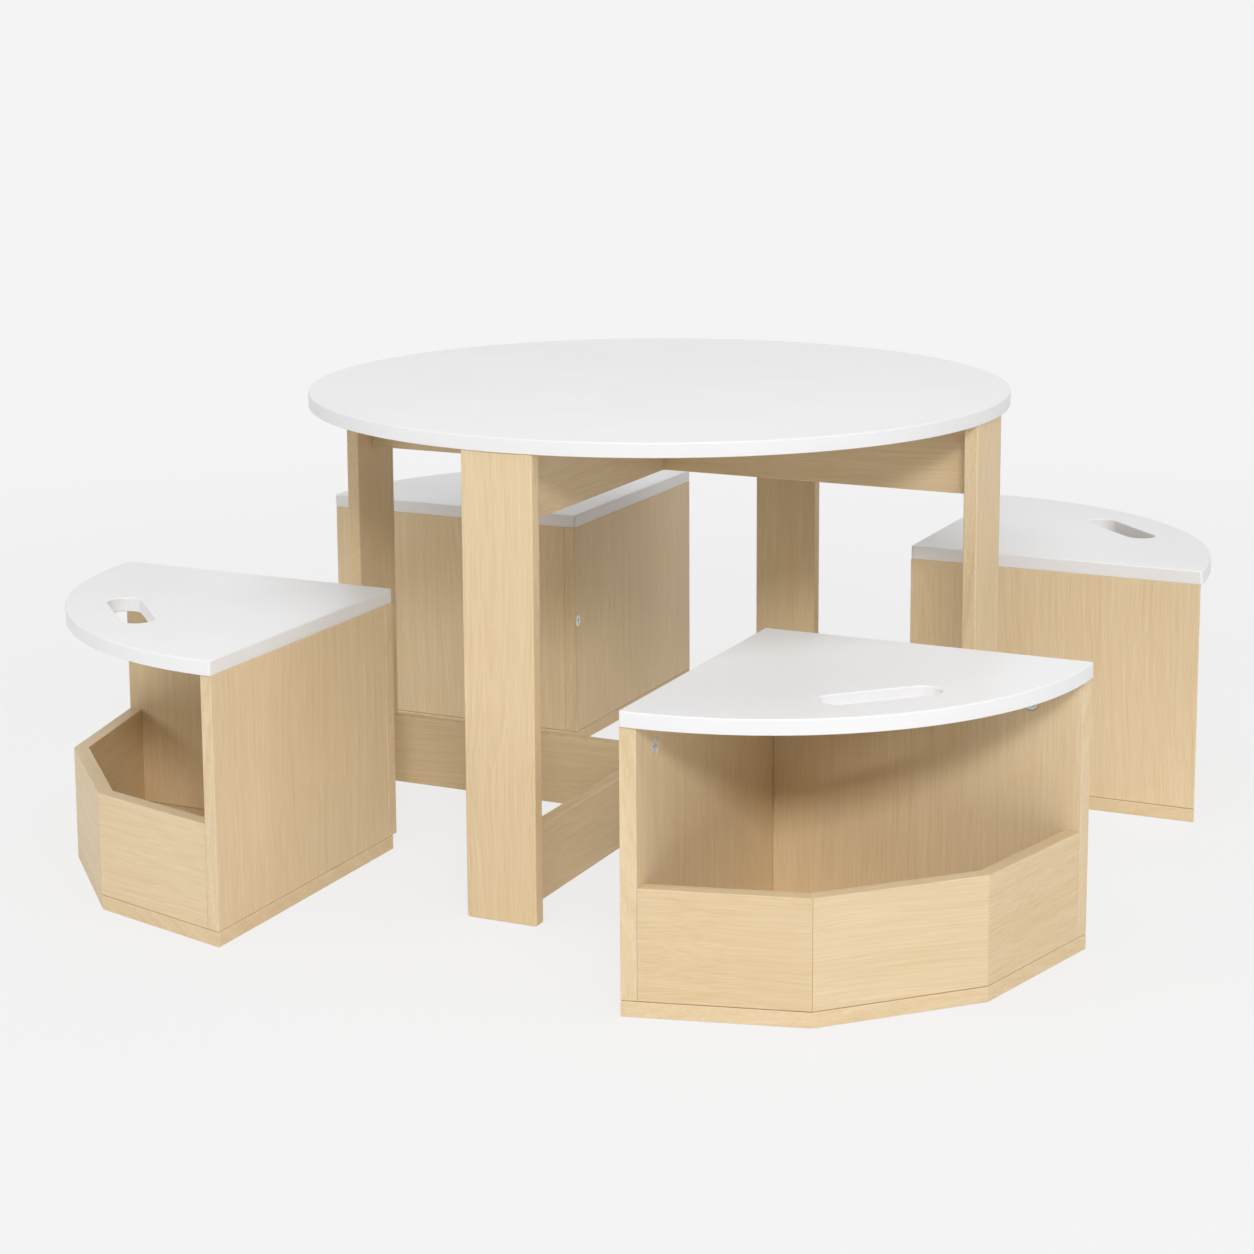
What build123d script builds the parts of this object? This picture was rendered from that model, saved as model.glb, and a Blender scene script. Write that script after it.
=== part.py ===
from build123d import *
from math import cos, radians, sin, sqrt
import os

# A round play table on four broad legs, with four quarter-round storage stools that slide
# in between the legs. Lengths are in millimetres. The origin is on the floor under the
# middle of the table, +Z is up, and the rails run along X and Y.

# Boards
board = 15.0                  # thickness of every board
board_ease = 0.8              # eased edges of the stools' boards
rail_ease = 1.5               # eased long edges of the rails
leg_ease = 2.0                # eased edges of the legs
top_ease = 1.0                # eased upper rims of the white boards

# Table
table_diameter = 762.0
table_height = 490.0
leg_width = 78.0
leg_rim_setback = 1.5         # the legs' outer corners stand this far inside the rim
rail_depth = 79.0

# Stools
stool_height = 286.0
seat_radius = 338.5           # the straight sides of the quarter-round seat
panel_setback = 1.5           # the side panels stop this far short of the seat's tips
bin_panel_height = 106.5
base_corner_cut = 8.0
slot_length = 120.0
slot_width = 34.0
slot_margin = 46.5            # from the hand slot to the rim of the seat
pulled_out = 305.0            # from the table's axis to a stool's inner corner

# Cam fixings
cam_diameter = 15.0
cam_thickness = 12.5
cam_recess = 0.4              # the cam's face lies this far below the board's face
cam_setback = 28.0            # from the joint to the cam's centre
bolt_diameter = 7.0
bolt_thread_length = 11.0
bolt_overreach = 2.5          # the bolt's tip passes the cam's centre by this much
left_cam_inset = 45.5         # from the left side panel's front end to its front cam
right_cam_inset = 56.0        # the same on the right side panel
rear_cam_inset = 50.0         # from the stool's inner corner to the rear cams

# Dowels
dowel_diameter = 8.0
dowel_length = 30.0
dowel_shallow_end = 10.0      # the part of a dowel in the board that it meets face on
rail_dowel_spacing = 48.0
leg_dowel_spacing = 44.0
bin_dowel_spacing = 100.0

# Screws
screw_head_diameter = 14.0
screw_head_thickness = 2.4
screw_shank_diameter = 6.6
screw_length = 50.0
screw_recess = 0.4            # the head's face lies this far below the board's face
base_screw_inset = 70.0       # from a side panel's end to its nearest base screw
corner_screw_height = 154.0

# Every fixing is a prism in a hole of the same form: the broad round ones have many sides and
# the thin ones few, which keeps the model light
fixing_gap = 0.1              # clearance round every fixing in its hole
disc_sides = 10
shank_sides = 6

# Places along the rails of the cams that pull the table top down, from the middle out
top_cam_share = 0.5

# Turn of each stool about the table's axis, and of each leg
stool_turns = {"front_right": 270, "rear_right": 0, "rear_left": 90, "front_left": 180}
leg_turns = {"front": 270, "right": 0, "rear": 90, "left": 180}
quarter_turn = 90
bisector_turn = quarter_turn / 2
bin_corner_turns = (quarter_turn / 3, quarter_turn * 2 / 3)

# Worked out from the sizes above
table_radius = table_diameter / 2
top_underside = table_height - board
leg_face = sqrt((table_radius - leg_rim_setback) ** 2 - (leg_width / 2) ** 2)
rail_reach = leg_face - board
seat_underside = stool_height - board
panel_length = seat_radius - panel_setback
mid_board = board / 2
dowel_deep_end = dowel_length - dowel_shallow_end


def stool_plane(turn):
    """Floor plane of a stool, with its origin under the inner corner and X along its left side."""
    bisector = radians(turn + bisector_turn)
    corner = (pulled_out * cos(bisector), pulled_out * sin(bisector), 0)
    return Plane(origin=corner, x_dir=(cos(radians(turn)), sin(radians(turn)), 0), z_dir=(0, 0, 1))


def on_stool(stool, places):
    """Planes given in a stool's own frame, placed on that stool."""
    return [Plane(stool.location * place.location) for place in places]


def write_piece(piece, name):
    """Label a finished sub-part and write it under its own name."""
    piece.part.label = name
    export_step(piece.part, f"parts/{name}.step")


def rods(places, diameter, length, sides):
    """Add a rod at each place, running in against the plane's Z."""
    with BuildSketch(*places) as outlines:
        RegularPolygon(diameter / 2, sides)
    extrude(outlines.sketch, amount=-length)


def bores(places, diameter, depth, sides):
    """Cut a hole for such a rod at each place."""
    with BuildSketch(*places) as outlines:
        RegularPolygon(diameter / 2 + fixing_gap, sides)
    extrude(outlines.sketch, amount=-depth, mode=Mode.SUBTRACT)


# A cam joint is a plane on the face where two boards meet: Z points into the board that holds
# the cam, and X points to the face of that board where the cam shows.


def cam_face(joint):
    """Plane on the board's face over the cam, pointing out of the board."""
    centre = joint.from_local_coords(Vector(board / 2, 0, cam_setback))
    return Plane(origin=centre, x_dir=joint.z_dir, z_dir=joint.x_dir)


def drill_for_cams(joints):
    """Cut the cam pockets and the bolt holes into the board that holds the cams."""
    faces = [cam_face(joint) for joint in joints]
    bores(faces, cam_diameter, cam_recess + cam_thickness, disc_sides)
    bores([-joint for joint in joints], bolt_diameter, cam_setback, shank_sides)


def drill_for_bolts(joints):
    """Cut the holes that the bolts screw into."""
    bores(joints, bolt_diameter, bolt_thread_length, shank_sides)


def add_cams(joints):
    """Cam discs, each open on one side for the tip of its bolt."""
    faces = [cam_face(joint).offset(-cam_recess) for joint in joints]
    rods(faces, cam_diameter, cam_thickness, disc_sides)
    bores([-joint for joint in joints], bolt_diameter, cam_setback + bolt_overreach, shank_sides)


def add_bolts(joints):
    """Bolts with their thread in one board and their stem in the other board and its cam."""
    tips = [-joint.offset(-bolt_thread_length) for joint in joints]
    rods(tips, bolt_diameter, bolt_thread_length + cam_setback + bolt_overreach, shank_sides)


# A dowel joint is a plane on the meeting face whose Z points into the board with the deep end.


def drill_shallow_ends(joints):
    """Cut the dowel holes into the board that the dowels meet face on."""
    bores(joints, dowel_diameter, dowel_shallow_end, shank_sides)


def drill_deep_ends(joints):
    """Cut the dowel holes into the board whose edge holds the dowels."""
    bores([-joint for joint in joints], dowel_diameter, dowel_deep_end, shank_sides)


def add_dowels(joints):
    """Dowels across their joints."""
    tips = [-joint.offset(-dowel_shallow_end) for joint in joints]
    rods(tips, dowel_diameter, dowel_length, shank_sides)


# A screw place is a plane on the face that the head sits in, pointing out of the board.


def drill_for_heads(places):
    """Cut the clearance holes and the flat seats of the screw heads."""
    bores(places, screw_head_diameter, screw_recess + screw_head_thickness, disc_sides)
    bores(places, screw_shank_diameter, board, shank_sides)


def drill_for_tips(places):
    """Cut the holes for the shanks into the board that the screws hold."""
    bores(places, screw_shank_diameter, screw_length, shank_sides)


def add_screws(places):
    """Flat-headed screws."""
    heads = [place.offset(-screw_recess) for place in places]
    rods(heads, screw_head_diameter, screw_head_thickness, disc_sides)
    rods(heads, screw_shank_diameter, screw_length - screw_recess, shank_sides)


# The bin front follows three chords of the seat's arc. Its outer line starts at the end of the
# left side panel, turns at a third and two thirds of the quarter circle, and ends at the end of
# the right side panel.
bin_corners = [
    Vector(cos(radians(turn)), sin(radians(turn))) * seat_radius for turn in bin_corner_turns
]
bin_line = [Vector(panel_length, board), *bin_corners, Vector(board, panel_length)]


def facet_out(start, end):
    """Direction that a facet of the bin faces."""
    along = (end - start).normalized()
    return Vector(along.Y, -along.X)


facet_normals = [facet_out(start, end) for start, end in zip(bin_line, bin_line[1:])]


def mitre_inside(corner, one, other):
    """Inner end of the mitre between two facets."""
    return corner - (one + other) * (board / (1 + one.dot(other)))


bin_inner_line = [
    bin_line[0] - Vector(board / facet_normals[0].X, 0),
    mitre_inside(bin_line[1], facet_normals[0], facet_normals[1]),
    mitre_inside(bin_line[2], facet_normals[1], facet_normals[2]),
    bin_line[3] - Vector(0, board / facet_normals[2].Y),
]


def bin_joint(facet, shift=0.0):
    """Plane on the base under the middle of a bin panel, moved along it by shift, facing up."""
    normal = facet_normals[facet]
    along = Vector(-normal.Y, normal.X)
    middle = (bin_line[facet] + bin_line[facet + 1]) / 2 - normal * mid_board + along * shift
    return Plane(origin=(middle.X, middle.Y, board), x_dir=along, z_dir=(0, 0, 1))


def under_base(x, y):
    """Screw place under the base."""
    return Plane(origin=(x, y, 0), x_dir=(1, 0, 0), z_dir=(0, 0, -1))


def under_seat(x, y, inwards):
    """Cam joint on a side panel's top edge, with its cam on the inner face."""
    return Plane(origin=(x, y, seat_underside), x_dir=inwards, z_dir=(0, 0, -1))


def bin_dowel_pair(facet):
    """The two dowels between a bin panel and the base."""
    return [bin_joint(facet, side * bin_dowel_spacing / 2) for side in (-1, 1)]


# Places of a stool's fixings in its own frame
left_cam_stations = (rear_cam_inset, panel_length - left_cam_inset)
right_cam_stations = (rear_cam_inset, panel_length - right_cam_inset)
left_screw_stations = (base_screw_inset, panel_length - base_screw_inset)
right_screw_stations = (board + base_screw_inset, panel_length - base_screw_inset)
corner_screw = Plane(origin=(mid_board, 0, corner_screw_height), x_dir=(1, 0, 0), z_dir=(0, -1, 0))
stool_places = {
    "left_cams": [under_seat(station, mid_board, (0, 1, 0)) for station in left_cam_stations],
    "right_cams": [under_seat(mid_board, station, (1, 0, 0)) for station in right_cam_stations],
    "left_screws": [under_base(station, mid_board) for station in left_screw_stations],
    "right_screws": [under_base(mid_board, station) for station in right_screw_stations],
    "corner_screws": [corner_screw],
    "left_bin_dowels": bin_dowel_pair(0),
    "middle_bin_dowels": bin_dowel_pair(1),
    "right_bin_dowels": bin_dowel_pair(2),
}


def all_bin_dowels(places):
    """The dowels between the base and all three bin panels."""
    return places["left_bin_dowels"] + places["middle_bin_dowels"] + places["right_bin_dowels"]


def make_seat(stool, places, name):
    """Quarter-round white seat with a hand slot parallel to its front."""
    slot_reach = seat_radius - slot_margin - slot_width / 2
    slot_middle = Vector(slot_reach, 0).rotate(Axis.Z, bisector_turn)
    with BuildPart() as seat:
        with BuildSketch(stool.offset(seat_underside)):
            with BuildLine():
                Line((0, 0), (seat_radius, 0))
                CenterArc((0, 0), seat_radius, 0, quarter_turn)
                Line((0, seat_radius), (0, 0))
            make_face()
        extrude(amount=board)
        chamfer(edges().group_by(Axis.Z)[-1], top_ease)
        with BuildSketch(stool.offset(seat_underside)):
            with Locations(slot_middle):
                SlotOverall(slot_length, slot_width, rotation=bisector_turn + quarter_turn)
        extrude(amount=board, mode=Mode.SUBTRACT)
        drill_for_bolts(places["left_cams"] + places["right_cams"])
    write_piece(seat, f"{name}_seat")


def make_left_side(stool, places, name):
    """Side panel that runs the whole way to the stool's inner corner."""
    with BuildPart() as left_side:
        with BuildSketch(stool.offset(board)):
            Rectangle(panel_length, board, align=Align.MIN)
        extrude(amount=seat_underside - board)
        chamfer(edges(), board_ease)
        drill_for_cams(places["left_cams"])
        drill_for_heads(places["corner_screws"])
        drill_for_tips(places["left_screws"])
    write_piece(left_side, f"{name}_left_side")


def make_right_side(stool, places, name):
    """Side panel that butts against the left one at the inner corner."""
    with BuildPart() as right_side:
        with BuildSketch(stool.offset(board)):
            with Locations((0, board)):
                Rectangle(board, panel_length - board, align=Align.MIN)
        extrude(amount=seat_underside - board)
        chamfer(edges(), board_ease)
        drill_for_cams(places["right_cams"])
        drill_for_tips(places["corner_screws"] + places["right_screws"])
    write_piece(right_side, f"{name}_right_side")


def make_base(stool, places, name):
    """Base board under the side panels and the bin, with its inner corner cut off."""
    with BuildPart() as base:
        with BuildSketch(stool):
            with BuildLine():
                Polyline(
                    (base_corner_cut, 0),
                    (panel_length, 0),
                    *bin_line,
                    (0, panel_length),
                    (0, base_corner_cut),
                    close=True,
                )
            make_face()
        extrude(amount=board)
        chamfer(edges(), board_ease)
        drill_for_heads(places["left_screws"] + places["right_screws"])
        drill_shallow_ends(all_bin_dowels(places))
    write_piece(base, f"{name}_base")


def make_bin_panel(stool, places, facet, side, name):
    """One of the three low front boards, mitred to its neighbour."""
    with BuildPart() as bin_panel:
        with BuildSketch(stool.offset(board)):
            with BuildLine():
                Polyline(
                    bin_line[facet],
                    bin_line[facet + 1],
                    bin_inner_line[facet + 1],
                    bin_inner_line[facet],
                    close=True,
                )
            make_face()
        extrude(amount=bin_panel_height)
        upper_edges = edges().group_by(Axis.Z)[-1]
        chamfer(upper_edges.sort_by(SortBy.LENGTH)[-2:], board_ease)
        drill_deep_ends(places[f"{side}_bin_dowels"])
    write_piece(bin_panel, f"{name}_bin_{side}")


def make_stool_fixings(places, name):
    """The stool's cams, bolts, dowels and screws, one group of each."""
    cam_joints = places["left_cams"] + places["right_cams"]
    with BuildPart() as cam_locks:
        add_cams(cam_joints)
    write_piece(cam_locks, f"{name}_cam_locks")
    with BuildPart() as cam_bolts:
        add_bolts(cam_joints)
    write_piece(cam_bolts, f"{name}_cam_bolts")
    with BuildPart() as dowels:
        add_dowels(all_bin_dowels(places))
    write_piece(dowels, f"{name}_dowels")
    with BuildPart() as screws:
        add_screws(places["left_screws"] + places["right_screws"] + places["corner_screws"])
    write_piece(screws, f"{name}_screws")


def make_stool(turn, name):
    """All the pieces of one stool."""
    stool = stool_plane(turn)
    places = {kind: on_stool(stool, planes) for kind, planes in stool_places.items()}
    make_seat(stool, places, name)
    make_left_side(stool, places, name)
    make_right_side(stool, places, name)
    make_base(stool, places, name)
    for facet, side in enumerate(("left", "middle", "right")):
        make_bin_panel(stool, places, facet, side, name)
    make_stool_fixings(places, name)


# Table fixings. Each rail end has a cam between two dowels, and each half of an upper rail has a
# cam that pulls the table top down. The cams are on the faces turned away from the front right.


def way_out(turn):
    """Direction from the table's axis to a leg."""
    return Vector(cos(radians(turn)), sin(radians(turn)))


def cam_side(out):
    """Direction that the cams face in the rail that runs that way."""
    return Vector(0, 1) if abs(out.X) > abs(out.Y) else Vector(-1, 0)


def rail_end_plane(turn, height, shift=0.0):
    """Plane on a leg's inner face, pointing back along the rail, with X to the cam's face."""
    out = way_out(turn)
    place = out * rail_reach + Vector(0, 0, height + shift)
    return Plane(origin=place, x_dir=cam_side(out), z_dir=-out)


def rail_end_dowels(turn, height):
    """The two dowels between a rail and a leg."""
    return [rail_end_plane(turn, height, side * rail_dowel_spacing / 2) for side in (-1, 1)]


def rail_top_cam(turn):
    """Cam joint between an upper rail and the table top."""
    out = way_out(turn)
    place = out * (rail_reach * top_cam_share) + Vector(0, 0, top_underside)
    return Plane(origin=place, x_dir=cam_side(out), z_dir=(0, 0, -1))


def leg_top_dowels(turn):
    """The two dowels between a leg and the table top."""
    out = way_out(turn)
    middle = out * (leg_face - mid_board) + Vector(0, 0, top_underside)
    aside = Vector(-out.Y, out.X) * (leg_dowel_spacing / 2)
    return [Plane(origin=middle + aside * side, x_dir=out, z_dir=(0, 0, -1)) for side in (-1, 1)]


rail_heights = {"upper": top_underside - rail_depth / 2, "lower": rail_depth / 2}
rail_legs = {"front_to_rear": ("front", "rear"), "left_to_right": ("left", "right")}
end_cams, end_dowels, top_cams, top_dowels = [], [], [], []
for leg_turn in leg_turns.values():
    top_cams.append(rail_top_cam(leg_turn))
    top_dowels.extend(leg_top_dowels(leg_turn))
    for rail_height in rail_heights.values():
        end_cams.append(rail_end_plane(leg_turn, rail_height))
        end_dowels.extend(rail_end_dowels(leg_turn, rail_height))


def make_table_top():
    """Round white top."""
    with BuildPart() as table_top:
        with BuildSketch(Plane.XY.offset(top_underside)):
            Circle(table_radius)
        extrude(amount=board)
        chamfer(edges().group_by(Axis.Z)[-1], top_ease)
        drill_for_bolts(top_cams)
        drill_shallow_ends(top_dowels)
    write_piece(table_top, "table_top")


def make_leg(turn, name):
    """Broad flat leg that stands across the end of two rails."""
    with BuildPart() as leg:
        with BuildSketch(Plane(origin=(0, 0, 0), x_dir=way_out(turn), z_dir=(0, 0, 1))):
            with Locations((leg_face - mid_board, 0)):
                Rectangle(board, leg_width)
        extrude(amount=top_underside)
        chamfer(edges(), leg_ease)
        for mid in rail_heights.values():
            drill_for_bolts([rail_end_plane(turn, mid)])
            drill_shallow_ends(rail_end_dowels(turn, mid))
        drill_deep_ends(leg_top_dowels(turn))
    write_piece(leg, f"{name}_leg")


def make_rail(level, run, name):
    """Rail from leg to leg, halved over the rail that it crosses."""
    turns = [leg_turns[leg] for leg in rail_legs[run]]
    mid = rail_heights[level]
    along_x = run == "left_to_right"
    size = (2 * rail_reach, board) if along_x else (board, 2 * rail_reach)
    notch_level = mid + rail_depth / 4 if along_x else mid - rail_depth / 4
    with BuildPart() as rail:
        with BuildSketch(Plane.XY.offset(mid - rail_depth / 2)):
            Rectangle(*size)
        extrude(amount=rail_depth)
        chamfer(edges().filter_by(Axis.X if along_x else Axis.Y), rail_ease)
        with Locations((0, 0, notch_level)):
            Box(board, board, rail_depth / 2, mode=Mode.SUBTRACT)
        drill_for_cams([rail_end_plane(turn, mid) for turn in turns])
        drill_deep_ends([joint for turn in turns for joint in rail_end_dowels(turn, mid)])
        if level == "upper":
            drill_for_cams([rail_top_cam(turn) for turn in turns])
    write_piece(rail, name)


def make_table_fixings():
    """The table's cams, bolts and dowels, one group of each."""
    with BuildPart() as cam_locks:
        add_cams(end_cams + top_cams)
    write_piece(cam_locks, "table_cam_locks")
    with BuildPart() as cam_bolts:
        add_bolts(end_cams + top_cams)
    write_piece(cam_bolts, "table_cam_bolts")
    with BuildPart() as dowels:
        add_dowels(end_dowels + top_dowels)
    write_piece(dowels, "table_dowels")


os.makedirs("parts", exist_ok=True)
make_table_top()
for leg_name, leg_turn in leg_turns.items():
    make_leg(leg_turn, leg_name)
for rail_level in rail_heights:
    for rail_run in rail_legs:
        make_rail(rail_level, rail_run, f"{rail_level}_rail_{rail_run}")
make_table_fixings()
for stool_name, stool_turn in stool_turns.items():
    make_stool(stool_turn, f"{stool_name}_stool")
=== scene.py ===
"""Play table and four storage stools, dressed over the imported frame.

Every board is made again with finely rounded edges, and each wooden one is cut from another
place of the same log. The cams and screws are made with Geometry Nodes. The bolts and dowels
keep their CAD shapes. Lengths are in metres.
"""

import logging
import math
import random
from collections.abc import Sequence
from dataclasses import dataclass, field
from enum import Enum

import bmesh
import bpy
from mathutils import Euler, Matrix, Vector
from mathutils.geometry import tessellate_polygon


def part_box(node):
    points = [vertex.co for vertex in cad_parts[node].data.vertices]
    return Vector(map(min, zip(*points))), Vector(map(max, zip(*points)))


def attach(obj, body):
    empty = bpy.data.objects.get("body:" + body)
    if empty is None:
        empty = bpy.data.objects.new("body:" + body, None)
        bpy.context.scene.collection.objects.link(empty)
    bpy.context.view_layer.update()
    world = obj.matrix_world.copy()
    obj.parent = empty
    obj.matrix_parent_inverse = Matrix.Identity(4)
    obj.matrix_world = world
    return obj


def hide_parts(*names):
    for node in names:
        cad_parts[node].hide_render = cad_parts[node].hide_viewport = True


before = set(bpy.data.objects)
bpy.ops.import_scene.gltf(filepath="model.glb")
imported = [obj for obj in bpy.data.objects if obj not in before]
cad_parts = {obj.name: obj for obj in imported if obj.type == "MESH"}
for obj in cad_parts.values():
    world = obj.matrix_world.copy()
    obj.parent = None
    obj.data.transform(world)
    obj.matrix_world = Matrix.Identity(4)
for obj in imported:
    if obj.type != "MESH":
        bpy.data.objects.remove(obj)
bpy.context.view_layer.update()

MM = 0.001
QUARTER_TURN = math.pi / 2
X_AXIS = Vector((1, 0, 0))
Y_AXIS = Vector((0, 1, 0))
UP = Vector((0, 0, 1))
NOISE_MEAN = 0.5
NOISE_RANGE = (0.3, 0.7)  # what most of a noise's values keep to
BIN_BOARDS = ("left", "middle", "right")

Colour = tuple[float, float, float, float]
Socket = bpy.types.NodeSocket
Value = Socket | float | Sequence[float]
Ring = list[bmesh.types.BMVert]

log = logging.getLogger("play_table")


class Slot(Enum):
    """Material slots of the record."""

    WHITE_BOARD = "white_board"
    LIGHT_WOOD = "light_wood"
    NICKEL = "nickel"
    DOWEL_WOOD = "dowel_wood"


class Grain(Enum):
    """Way the grain runs over a board's outline."""

    ALONG = 0.0
    UPRIGHT = math.pi / 2
    DIAGONAL = 3 * math.pi / 4


class Face(Enum):
    """The two faces of a board, by their place along its thickness."""

    LOW = "low"
    HIGH = "high"


class Leg(Enum):
    """The table's legs, by the way that their outer faces look, as a turn from X."""

    FRONT = math.radians(270)
    RIGHT = math.radians(0)
    REAR = math.radians(90)
    LEFT = math.radians(180)


class Level(Enum):
    """The two heights of the rails."""

    UPPER = "upper"
    LOWER = "lower"


class Run(Enum):
    """The two ways that the rails run."""

    FRONT_TO_REAR = "front_to_rear"
    LEFT_TO_RIGHT = "left_to_right"

    def along(self) -> Vector:
        """The way along the rail."""
        return X_AXIS if self is Run.LEFT_TO_RIGHT else Y_AXIS


class Corner(Enum):
    """Places of the stools round the table, in the order of their making."""

    FRONT_RIGHT = "front_right"
    REAR_RIGHT = "rear_right"
    REAR_LEFT = "rear_left"
    FRONT_LEFT = "front_left"


class NodeTree:
    """Short way to write a node tree."""

    def __init__(self, tree: bpy.types.NodeTree) -> None:
        """Start on an empty tree."""
        self.tree = tree
        tree.nodes.clear()

    def feed(self, target: Socket, value: Value) -> None:
        """Link an output to an input, or set the input.

        Args:
            target: The input.
            value: An output, a number, a vector or a colour.
        """
        if isinstance(value, Socket):
            self.tree.links.new(value, target)
        else:
            target.default_value = value

    def add(self, kind: str, inputs: dict | None = None, **settings: object) -> bpy.types.Node:
        """Add a node, set it up and feed it.

        Args:
            kind: The node's type name.
            inputs: Values or outputs by input name or number.
            settings: Properties of the node.

        Returns:
            The new node.
        """
        node = self.tree.nodes.new(kind)
        for key, value in settings.items():
            setattr(node, key, value)
        for key, value in (inputs or {}).items():
            self.feed(node.inputs[key], value)
        return node

    def math(self, operation: str, *terms: Value) -> Socket:
        """Result of a sum on numbers."""
        return self.add("ShaderNodeMath", dict(enumerate(terms)), operation=operation).outputs[0]

    def vector(self, operation: str, *terms: Value) -> Socket:
        """Result of a sum on vectors."""
        return self.add("ShaderNodeVectorMath", dict(enumerate(terms)), operation=operation).outputs[0]

    def length(self, vector: Socket) -> Socket:
        """Length of a vector."""
        return self.add("ShaderNodeVectorMath", {0: vector}, operation="LENGTH").outputs["Value"]

    def attribute(self, name: str, output: str = "Fac") -> Socket:
        """Attribute of the mesh."""
        return self.add("ShaderNodeAttribute", attribute_name=name).outputs[output]

    def object_place(self) -> Socket:
        """Place on the object."""
        return self.add("ShaderNodeTexCoord").outputs["Object"]

    def noise(
        self,
        place: Socket,
        turns: float | tuple[float, float, float],
        detail: float = 2.0,
        roughness: float = 0.5,
        coloured: bool = False,
    ) -> Socket:
        """Noise at a place.

        Args:
            place: Where the noise is read.
            turns: Turns to the metre, in all directions alike or along each axis.
            detail: Count of finer layers in the noise.
            roughness: Share of the finer layers.
            coloured: Whether the noise has three parts instead of one.

        Returns:
            The noise, from 0 to 1.
        """
        scale = turns if isinstance(turns, tuple) else (turns, turns, turns)
        scaled = self.vector("MULTIPLY", place, scale)
        inputs = {"Vector": scaled, "Scale": 1.0, "Detail": detail, "Roughness": roughness}
        outputs = self.add("ShaderNodeTexNoise", inputs).outputs
        return outputs["Color"] if coloured else outputs[0]

    def band(self, value: Value, low: float, high: float, to_low: float, to_high: float) -> Socket:
        """A value mapped from one range to another, kept inside it."""
        inputs = {0: value, 1: low, 2: high, 3: to_low, 4: to_high}
        return self.add("ShaderNodeMapRange", inputs, clamp=True).outputs[0]

    def spread(self, noise: Socket, low: float, high: float) -> Socket:
        """A noise mapped from its usual range to another."""
        return self.band(noise, *NOISE_RANGE, low, high)

    def mix(self, share: Value, one: Value, other: Value) -> Socket:
        """Blend of two colours, whose inputs share their names with others, so go by number."""
        return self.add("ShaderNodeMix", {0: share, 6: one, 7: other}, data_type="RGBA").outputs[2]

    def mix_shader(self, share: Socket, one: bpy.types.Node, other: bpy.types.Node) -> bpy.types.Node:
        """Blend of two shaders."""
        return self.add("ShaderNodeMixShader", {0: share, 1: one.outputs[0], 2: other.outputs[0]})

    def bump(self, height: Socket, strength: float, depth: float) -> Socket:
        """Normal of a fine relief."""
        inputs = {"Strength": strength, "Distance": depth, "Height": height}
        return self.add("ShaderNodeBump", inputs).outputs[0]


def srgb(red: float, green: float, blue: float) -> Colour:
    """Colour of a screen value, as Blender takes it, by the standard tone curve of screens.

    Args:
        red: Red from 0 to 255.
        green: Green from 0 to 255.
        blue: Blue from 0 to 255.

    Returns:
        The linear colour with full opacity.
    """
    levels = [level / 255 for level in (red, green, blue)]
    linear = [v / 12.92 if v <= 0.04045 else ((v + 0.055) / 1.055) ** 2.4 for v in levels]
    return (*linear, 1.0)


class Finish:
    """A finish whose material is one shader, fed by the finish's own nodes."""

    name: str

    def inputs(self, nodes: NodeTree) -> dict[str, Value]:
        """Values and outputs for the shader's inputs, by input name."""
        raise NotImplementedError

    def material(self) -> bpy.types.Material:
        """Make the finish's material.

        Returns:
            The finished material.
        """
        material = bpy.data.materials.new(self.name)
        material.use_nodes = True
        nodes = NodeTree(material.node_tree)
        shader = nodes.add("ShaderNodeBsdfPrincipled", self.inputs(nodes))
        nodes.add("ShaderNodeOutputMaterial", {0: shader.outputs[0]})
        return material


@dataclass(frozen=True)
class GrainLayer:
    """Noise drawn out along the grain, and how much it tells in the wood's tone."""

    turns_along: float
    turns_across: float
    detail: float
    weight: float = 0.0


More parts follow.
